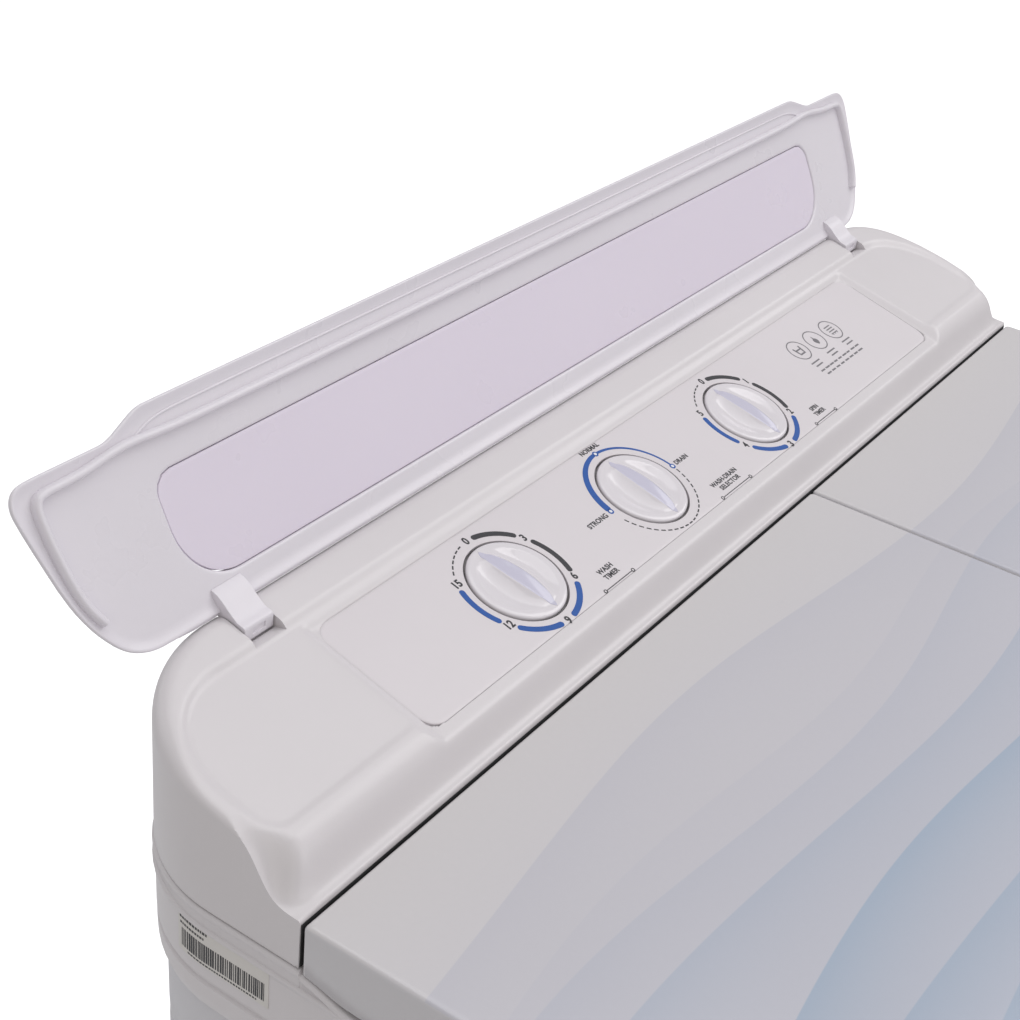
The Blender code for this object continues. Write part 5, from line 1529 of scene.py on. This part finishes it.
def tub_ring(z, ins, flute=0.0, radius=None):
    """Ring of the tapered tub; flutes press its straight walls towards the middle."""
    ins_all = ins + 14.0 * (1 - (z - TUB_Z) / (892.0 - TUB_Z))
    half_x, half_y = WASH_HX - ins_all, WASH_HY - ins_all
    ring = []
    for x, y, z in tub_rect(z, half_x, half_y, (46 - ins) if radius is None else radius):
        dx, dy = x - WASH_CX, y - WASH_CY
        if abs(dx) > half_x - 1 and abs(dy) < WASH_HY - 60:
            x -= (1 if dx > 0 else -1) * flute * (0.5 - 0.5 * cos(2 * pi * dy / 27.0))
        elif abs(dy) > half_y - 1 and abs(dx) < WASH_HX - 60:
            y -= (1 if dy > 0 else -1) * flute * (0.5 - 0.5 * cos(2 * pi * dx / 29.0))
        ring.append((x, y, z))
    return ring


def wash_tub():
    loops = [tub_rect(TUB_Z, 186, 134, 36), tub_rect(TUB_Z, 196, 144, 40)]
    loops += [tub_ring(*row) for row in TUB_RINGS]
    loops.append(tub_ring(411.2, 40.0, radius=22))
    loops.append([(WASH_CX + (x - WASH_CX) * 0.9, WASH_CY + (y - WASH_CY) * 0.9, 411.0)
                  for x, y, _ in loops[-1]])
    tub = piece("wash_tub_shell", loft(loops), TUB, sharp=45)
    cut(tub, plug(WASH_CX, WASH_CY, 21, 398, 428, 60))
    cut(tub, plug(DRAIN_X, DRAIN_Y, 13, 398, 428, 40))
    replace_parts(tub, "wash_tub")


def pulsator_ring():
    profile = ((141, 410.5), (141, 414), (141.8, 416.4), (143.4, 417.6), (145.6, 417.2),
               (147.2, 415), (148.6, 410.5))
    piece("pulsator_ring", lathe(WASH_CX, WASH_CY, profile, 120, ring=True), TUB)


def drain_strainer():
    profile = ((0, 410.4), (20, 410.4), (20, 411.6), (18.6, 413.2), (14, 414.4), (0, 414.8))
    strainer = piece("drain_strainer", lathe(DRAIN_X, DRAIN_Y, profile, 56), GUARD)
    for ring, count, first, hole in ((11.5, 10, 0.0, 1.9), (5.4, 5, 0.3, 1.7)):
        drill_ring(strainer, DRAIN_X, DRAIN_Y, ring, count, first, 400, 425, hole, 14)


wash_tub()
pulsator_ring()
drain_strainer()

# Pulsator dish without its vanes: (radius, z)
DISH = ((0, 452), (10, 451), (22, 446), (34, 440.5), (56, 434.5), (100, 430.6), (124, 428.8),
        (130, 428.0), (134, 426.6), (138, 423.5))
VANES, VANE_SWEEP = 5, 0.0022     # sweep in radians per mm of radius


def vane_offset(angle, radius):
    """Distance round the circle from the nearest vane middle, before sweeping."""
    part = ((angle * VANES / (2 * pi)) % 1.0) - 0.5
    return part * 2 * pi * radius / VANES


def build_pulsator():
    """Shallow dish with swept vanes, a domed middle and two rings of holes."""
    sides = 220
    radii = np.concatenate((np.linspace(0.8, 128, 38),
                            [130.5, 132.5, 134.5, 136.2, 137.3, 137.9, 138.0, 137.6]))
    loops = []
    for r, base in zip(radii, np.interp(radii, *zip(*DISH))):
        width = 9.5 + 0.05 * r
        height = 10.5 * float(smooth((r - 20) / 26.0)) * float(smooth((130 - r) / 16.0))
        loop = []
        for x, y, z in circle(0, 0, base, 1.0, sides):
            angle = 2 * pi * len(loop) / sides
            off = vane_offset(angle - VANE_SWEEP * (r - 60), r)
            loop.append((WASH_CX + r * x, WASH_CY + r * y,
                         z + height * np.exp(-(off / width * 1.15) ** 4)))
        loops.append(loop)
    loops += [circle(WASH_CX, WASH_CY, z, r, sides)
              for r, z in ((136.0, 421.6), (110, 419.2), (40, 419.0))]
    pulsator = piece("pulsator_disc", loft(loops), BLUE, "pulsator", sharp=50)
    for ring, count in ((72, 10), (98, 15)):
        for k in range(count):
            angle = 2 * pi * (k + 0.5) / count
            if abs(vane_offset(angle, ring)) < 18:
                continue
            swept = angle + VANE_SWEEP * (ring - 60)
            drill(pulsator, WASH_CX + ring * cos(swept), WASH_CY + ring * sin(swept),
                  410, 450, 2.6, 14)
    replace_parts(pulsator, "pulsator")


build_pulsator()

# ----------------------------------------------- lint filter and overflow guard
LINT_X, OVERFLOW_X = -250.0, -120.0


def lint_filter():
    levels = ((600, 1.6), (600.6, 0.6), (602, 0), (758, 0), (759.4, 0.6), (760, 1.6))
    loops = [round_rect(LINT_X, 60, z, 42 - ins, 9 - ins, 5 - ins * 0.5, 8)
             for z, ins in levels]
    surround = piece("lint_frame", loft(loops), BLUE, "lint_filter")
    cut(surround, box((LINT_X - 34, 40, 608), (LINT_X + 34, 65, 740)))
    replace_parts(surround, "lint_filter")
    threads = [box((LINT_X + x - 0.35, 56.2, 608), (LINT_X + x + 0.35, 57.0, 740))
               for x in np.arange(-33, 33.1, 3.0)]
    threads += [box((LINT_X - 34, 56.3, z - 0.35), (LINT_X + 34, 57.1, z + 0.35))
                for z in np.arange(611, 740, 3.0)]
    piece("lint_mesh", merge(threads), GUARD, "lint_filter", sharp=30,
          weld=False)
    profile = ((0, -4), (-3.4, -3.2), (-4.6, 0), (-3.4, 3.2), (0, 4), (2, 4), (2, -4))
    stations = [LINT_X + x for x in (-14, -13.4, 13.4, 14)]
    piece("lint_grip", prism(profile, (51.0, 748), stations), BLUE,
          "lint_filter")


def overflow_guard():
    levels = ((470, 1.2), (470.6, 0.4), (472, 0), (848, 0), (849.4, 0.5), (850, 1.5))
    loops = [round_rect(OVERFLOW_X, 58, z, 34 - ins, 8 - ins, 5 - ins * 0.5, 8)
             for z, ins in levels]
    guard = piece("overflow_guard_shell", loft(loops), GUARD)
    cut(guard, box((OVERFLOW_X - 28, 54, 440), (OVERFLOW_X + 28, 63, 843)))
    for i in range(9):
        cut(guard, box((OVERFLOW_X - 21, 44, 690 + 16 * i), (OVERFLOW_X + 21, 58, 697 + 16 * i)))
    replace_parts(guard, "overflow_guard")


lint_filter()
overflow_guard()

# --------------------------------------------------------------------- spin side
# Turned profiles (radius, z) about the spin axis
SPIN_TUB = (
    (44, 388), (139, 388), (144.6, 389.4), (148.6, 393), (150, 398), (150, 880), (145.6, 884),
    (145.6, DECK_Z - 37.8), (145.2, DECK_Z - 37.4), (143.4, DECK_Z - 37.4),
    (143, DECK_Z - 37.9), (143.4, 880), (146.5, 402), (145.4, 396.4), (141.6, 392.4),
    (138, 391), (44, 391))
BASKET_BASE = (
    (8.4, 412), (119, 412), (123.5, 412.8), (126.8, 415.4), (128, 419.4), (128, 424.6),
    (125.9, 424.6), (125.6, 420.6), (123.6, 417.2), (120, 415.4), (70, 415), (60, 418.5),
    (24, 421.5), (20, 428), (8.4, 428))
BASKET_TOP = (
    (128, 793.4), (128, 800), (126.6, 804), (122.5, 808.4), (116, 811.6), (112.4, 812.2),
    (110.6, 811.4), (110.2, 809.8), (112, 808.8), (116, 808.2), (121, 805.4), (124.8, 801),
    (125.8, 797.6), (125.9, 793.4))
BASKET_COVER = (
    (0, 806.4), (96, 806.4), (103.4, 806), (105, 806.8), (107, 812.5), (116.2, 812.5),
    (117, 813.1), (117, 814.4), (116.2, 815), (104, 815), (101.6, 814.2), (99, 811.6),
    (96, 810.6), (30, 810.6), (26, 812.4), (14, 813.6), (0, 813.8))


def turned(name, profile, mat, sides, body="frame", ring=True):
    return piece(name, lathe(SPIN_CX, SPIN_CY, profile, sides, ring), mat, body)


def basket_wall():
    """Cylinder wall with staggered eight-sided holes, made cell by cell."""
    radius, low, high, hole = BASKET_R - 1.0, 424, 794, 3.1
    around, rows = 40, 20
    height, step = (high - low) / rows, 2 * pi / around
    half = 0.5 * step
    # cell border: angle from its middle, share of its height
    border = ((half, 0), (half, 0.5), (0, 0.5), (-half, 0.5), (-half, 0), (-half, -0.5),
              (0, -0.5), (half, -0.5))
    verts, faces = [], []
    for k in range(rows):
        middle = low + (k + 0.5) * height
        for j in range(around):
            centre = (j + 0.5 * (k % 2)) * step
            first = len(verts)
            cell = [(da, share * height) for da, share in border]
            cell += [(hole * cos(q * pi / 4) / radius, hole * sin(q * pi / 4))
                     for q in range(8)]
            for da, dz in cell:
                verts.append((SPIN_CX + radius * cos(centre + da),
                              SPIN_CY + radius * sin(centre + da), middle + dz))
            for q in range(8):
                p = (q + 1) % 8
                faces.append((first + q, first + p, first + 8 + p, first + 8 + q))
    wall = piece("basket_wall", (verts, faces), STAINLESS, "spin_rotor", sharp=60)
    thicken(wall, 1.1, offset=0.0)
    return wall


def basket_cover():
    cover = turned("basket_cover_disc", BASKET_COVER, BLUE, 96, "spin_rotor",
                   ring=False)
    for ring, count, first, hole in ((42, 8, 0.0, 6.0), (62, 12, pi / 12, 6.5),
                                     (82, 16, 0.0, 7.0)):
        drill_ring(cover, SPIN_CX, SPIN_CY, ring, count, first, 800, 822, hole, 24)
    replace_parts(cover, "basket_cover")
    grip = box((SPIN_CX - 27, SPIN_CY - 3.4, 812), (SPIN_CX + 27, SPIN_CY + 3.4, 824.5))
    bevel(piece("basket_cover_grip", grip, BLUE, "spin_rotor"), 2.4, 4)


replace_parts(turned("spin_tub_shell", SPIN_TUB, TUB, 112), "spin_outer_tub")
wall = basket_wall()
turned("basket_base_rim", BASKET_BASE, STAINLESS, 96, "spin_rotor")
turned("basket_top_rim", BASKET_TOP, STAINLESS, 96, "spin_rotor")
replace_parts(wall, "spin_basket")
basket_cover()

# -------------------------------------------------------------------- drain hose
# From the drain valve, down inside the cabinet, out of the back and down
HOSE_PATH = (
    (DRAIN_X + 26.4, DRAIN_Y, 374), (DRAIN_X + 48, DRAIN_Y, 374), (DRAIN_X + 60, DRAIN_Y + 6, 372),
    (HOSE_X, DRAIN_Y + 20, 366), (HOSE_X, DRAIN_Y + 40, 345), (HOSE_X, DRAIN_Y + 60, 300),
    (HOSE_X, DRAIN_Y + 80, 220), (HOSE_X, DRAIN_Y + 104, 172), (HOSE_X, DRAIN_Y + 130, HOSE_Z),
    (HOSE_X, BACK_Y + 8, HOSE_Z), (HOSE_X, BACK_Y + 22, 150), (HOSE_X, BACK_Y + 27, 130),
    (HOSE_X, BACK_Y + 27, 44))


def catmull(path, steps):
    """Smooth curve through the points of a path."""
    points = [Vector(point) for point in path]
    points = [points[0]] + points + [points[-1]]
    curve = []
    for i in range(1, len(points) - 2):
        a, b, c, d = points[i - 1:i + 3]
        for k in range(steps):
            t = k / steps
            curve.append(0.5 * ((2 * b) + (c - a) * t + (2 * a - 5 * b + 4 * c - d) * t * t
                                + (3 * b - a - 3 * c + d) * t ** 3))
    return curve + [points[-2]]


def drain_hose(pitch=5.2):
    """Hose with ribs at a pitch, plain at both ends."""
    curve = catmull(HOSE_PATH, 40)
    path, radii, length = [curve[0]], [13.0], 0.0
    for a, b in zip(curve[:-1], curve[1:]):
        length += (b - a).length
        if (b - path[-1]).length > 1.05:
            path.append(b)
            plain = length < 22 or b.z < 66
            wave = 0.5 + 0.5 * cos(2 * pi * (length / pitch))
            radii.append(12.9 if plain else 11.9 + 1.1 * wave)
    hose = piece("drain_hose_ribbed", tube(path, radii, 20, bore=10.4), HOSE,
                 sharp=60)
    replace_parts(hose, "drain_hose")


drain_hose()

# -------------------------------------------------------------------- side label
# On the left wall; y counts from the console front and heights from the deck.
LABEL_START, LABEL_END = 17.0, 75.6


def wall_x(y):
    """x of the left wall, round the rear corner."""
    radius = REAR_R[0]
    into = max(0.0, y - (CONSOLE_D - radius))
    return -HALF_W + 0.5 + radius - sqrt(max(0.0, radius ** 2 - into * into))


def wall_section(y, section):
    """Loop at y from (distance off the wall, height) points."""
    return [(wall_x(y) - out, CONSOLE_Y + y, DECK_Z + z) for out, z in section]


def label_patch(start, end, low, high):
    section = ((0.10, low), (0.36, low), (0.36, high), (0.10, high))
    return loft([wall_section(y, section) for y in (start, 0.5 * (start + end), end)])


def side_label():
    loops = []
    for y in np.linspace(LABEL_START, LABEL_END, 30):
        face = 0.26 - (0.15 if y in (LABEL_START, LABEL_END) else 0.0)
        loops.append(wall_section(y, ((-0.6, -65.4), (0.12, -65.4), (face, -65.2),
                                      (face, -41.4), (0.12, -41.2), (-0.6, -41.2))))
    plate = piece("side_label_plate", loft(loops), LABEL, sharp=30)
    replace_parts(plate, "side_label")


def label_bars():
    """A bar code and three rows of short marks."""
    rng = np.random.default_rng(3)
    patches = []
    y = 19.4
    while y < 72.6:
        width = 0.35 + 0.85 * rng.random()
        patches.append(label_patch(y, y + width, -61.9, -50.6))
        y += width + 0.3 + 0.55 * rng.random()
    for low, y, end, height in ((-44.6, 55.0, 73.0, 1.5), (-48.2, 57.0, 73.0, 1.3),
                                (-64.2, 24.0, 68.0, 0.9)):
        while y < end:
            width = 0.7 + 1.0 * rng.random()
            patches.append(label_patch(y, y + width, low, low + height))
            y += width + 0.55
    piece("side_label_bars", merge(patches), DARK_INK, sharp=30, weld=False)


side_label()
label_bars()

# ------------------------------------------------- materials of the CAD parts
CAD_MATERIALS = {name: mat for mat, names in (
    (STEEL, "wash_lid_hinge_rod spin_lid_hinge_rod pulsator_shaft spin_shaft shaft_coupling "
            "wash_motor_shaft mount_spring_1 mount_spring_2 mount_spring_3"),
    (ZINC, "back_screw_1 back_screw_2 brake_arm brake_pivot_post wash_motor_bracket"),
    (ALUMINIUM, "wash_pulley motor_pulley brake_drum pulsator_bearing_housing run_capacitor"),
    (MOTOR, "wash_motor spin_motor"),
    (BRASS, "spin_shaft_bush wash_timer_shaft selector_shaft spin_timer_shaft"),
    (RUBBER, "drive_belt bellows_seal drain_valve_plunger"),
    (BASE, "drain_valve_body wash_timer selector_switch spin_timer"),
    (HOSE, "water_inlet_left")) for name in names.split()}

for name, node in NODES.items():
    if node.hide_render or name not in CAD_MATERIALS:
        continue
    node.data.materials.clear()
    node.data.materials.append(CAD_MATERIALS[name])
    for face in node.data.polygons:
        face.material_index = 0


# ------------------------------------------------------- floor, world and lights
def build_floor(half=30000.0):
    corners = [(-half, -half, 0), (half, -half, 0), (half, half, 0), (-half, half, 0)]
    floor = new_object("floor", (corners, [(0, 1, 2, 3)]))
    shader = Shader("floor")
    shader.set("Base Color", shader.mix(shader.noise(scale=1.2), (0.74, 0.74, 0.745),
                                        (0.78, 0.78, 0.785)))
    shader.set("Roughness", 0.85)
    # glows for the camera only, so it lights nothing
    camera_ray = shader.node("ShaderNodeLightPath").outputs["Is Camera Ray"]
    shader.set("Emission Color", (1.0, 1.0, 1.0))
    shader.set("Emission Strength", shader.math('MULTIPLY', camera_ray, 0.66))
    floor.data.materials.append(shader.material)
    floor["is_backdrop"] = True


def build_world(color, strength):
    world = bpy.data.worlds.new("studio")
    bpy.context.scene.world = world
    world.use_nodes = True
    background = world.node_tree.nodes["Background"]
    background.inputs[0].default_value = color
    background.inputs[1].default_value = strength


def area_light(name, place, target, size, power, color):
    """Square area light aimed at a target, in metres and watts."""
    light = bpy.data.lights.new(name, 'AREA')
    light.energy = power
    light.shape = 'RECTANGLE'
    light.size = light.size_y = size
    light.color = color
    ob = bpy.data.objects.new(name, light)
    bpy.context.scene.collection.objects.link(ob)
    ob.location = place
    aim = Vector(target) - Vector(place)
    ob.rotation_euler = aim.to_track_quat('-Z', 'Y').to_euler()


build_floor()
build_world(color=(1.0, 0.99, 1.0, 1.0), strength=0.48)
area_light("key", place=(2.6, -1.2, 3.6), target=(0.0, 0.0, 0.9), size=2.6, power=40,
           color=(1.0, 0.985, 0.99))
area_light("top", place=(0.2, 0.4, 4.2), target=(0.0, 0.1, 0.9), size=3.2, power=32,
           color=(0.98, 0.985, 1.0))
area_light("left_fill", place=(-3.2, -1.8, 2.4), target=(0.0, 0.0, 0.8), size=2.4, power=10,
           color=(1.0, 0.9, 0.74))
area_light("front_fill", place=(0.3, -3.2, 1.7), target=(0.0, 0.1, 0.95), size=2.6, power=18,
           color=(0.975, 0.96, 1.0))
area_light("rear_fill", place=(-0.6, 3.6, 2.6), target=(0.0, 0.2, 0.8), size=2.4, power=9,
           color=(0.97, 0.98, 1.0))


# ------------------------------------------------------------------------ camera
def build_camera(place, yaw, pitch, roll, lens):
    """Camera in metres and degrees: yaw from +y towards +x, pitch downwards."""
    yaw, pitch, roll = radians(yaw), radians(pitch), radians(roll)
    forward = Vector((sin(yaw) * cos(pitch), cos(yaw) * cos(pitch), -sin(pitch)))
    level = Vector((cos(yaw), -sin(yaw), 0))
    above = level.cross(forward)
    right = level * cos(roll) + above * sin(roll)
    up = level * -sin(roll) + above * cos(roll)
    data = bpy.data.cameras.new("camera")
    data.sensor_width = 36.0
    data.lens = lens
    data.clip_start, data.clip_end = 0.01, 100.0
    camera = bpy.data.objects.new("camera", data)
    bpy.context.scene.collection.objects.link(camera)
    matrix = Matrix((right, up, -forward)).transposed().to_4x4()
    matrix.translation = place
    camera.matrix_world = matrix
    bpy.context.scene.camera = camera


build_camera(place=(-0.854, -0.24385, 1.481), yaw=58.65, pitch=31.37, roll=6.45,
             lens=60.5541176)
bpy.context.scene.view_settings.view_transform = 'Standard'
bpy.context.scene.view_settings.look = 'None'


def plain(bounds):
    return [[float(c) for c in point] for point in bounds]


{"cad": plain(CAD_BOX), "visual": plain(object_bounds())}
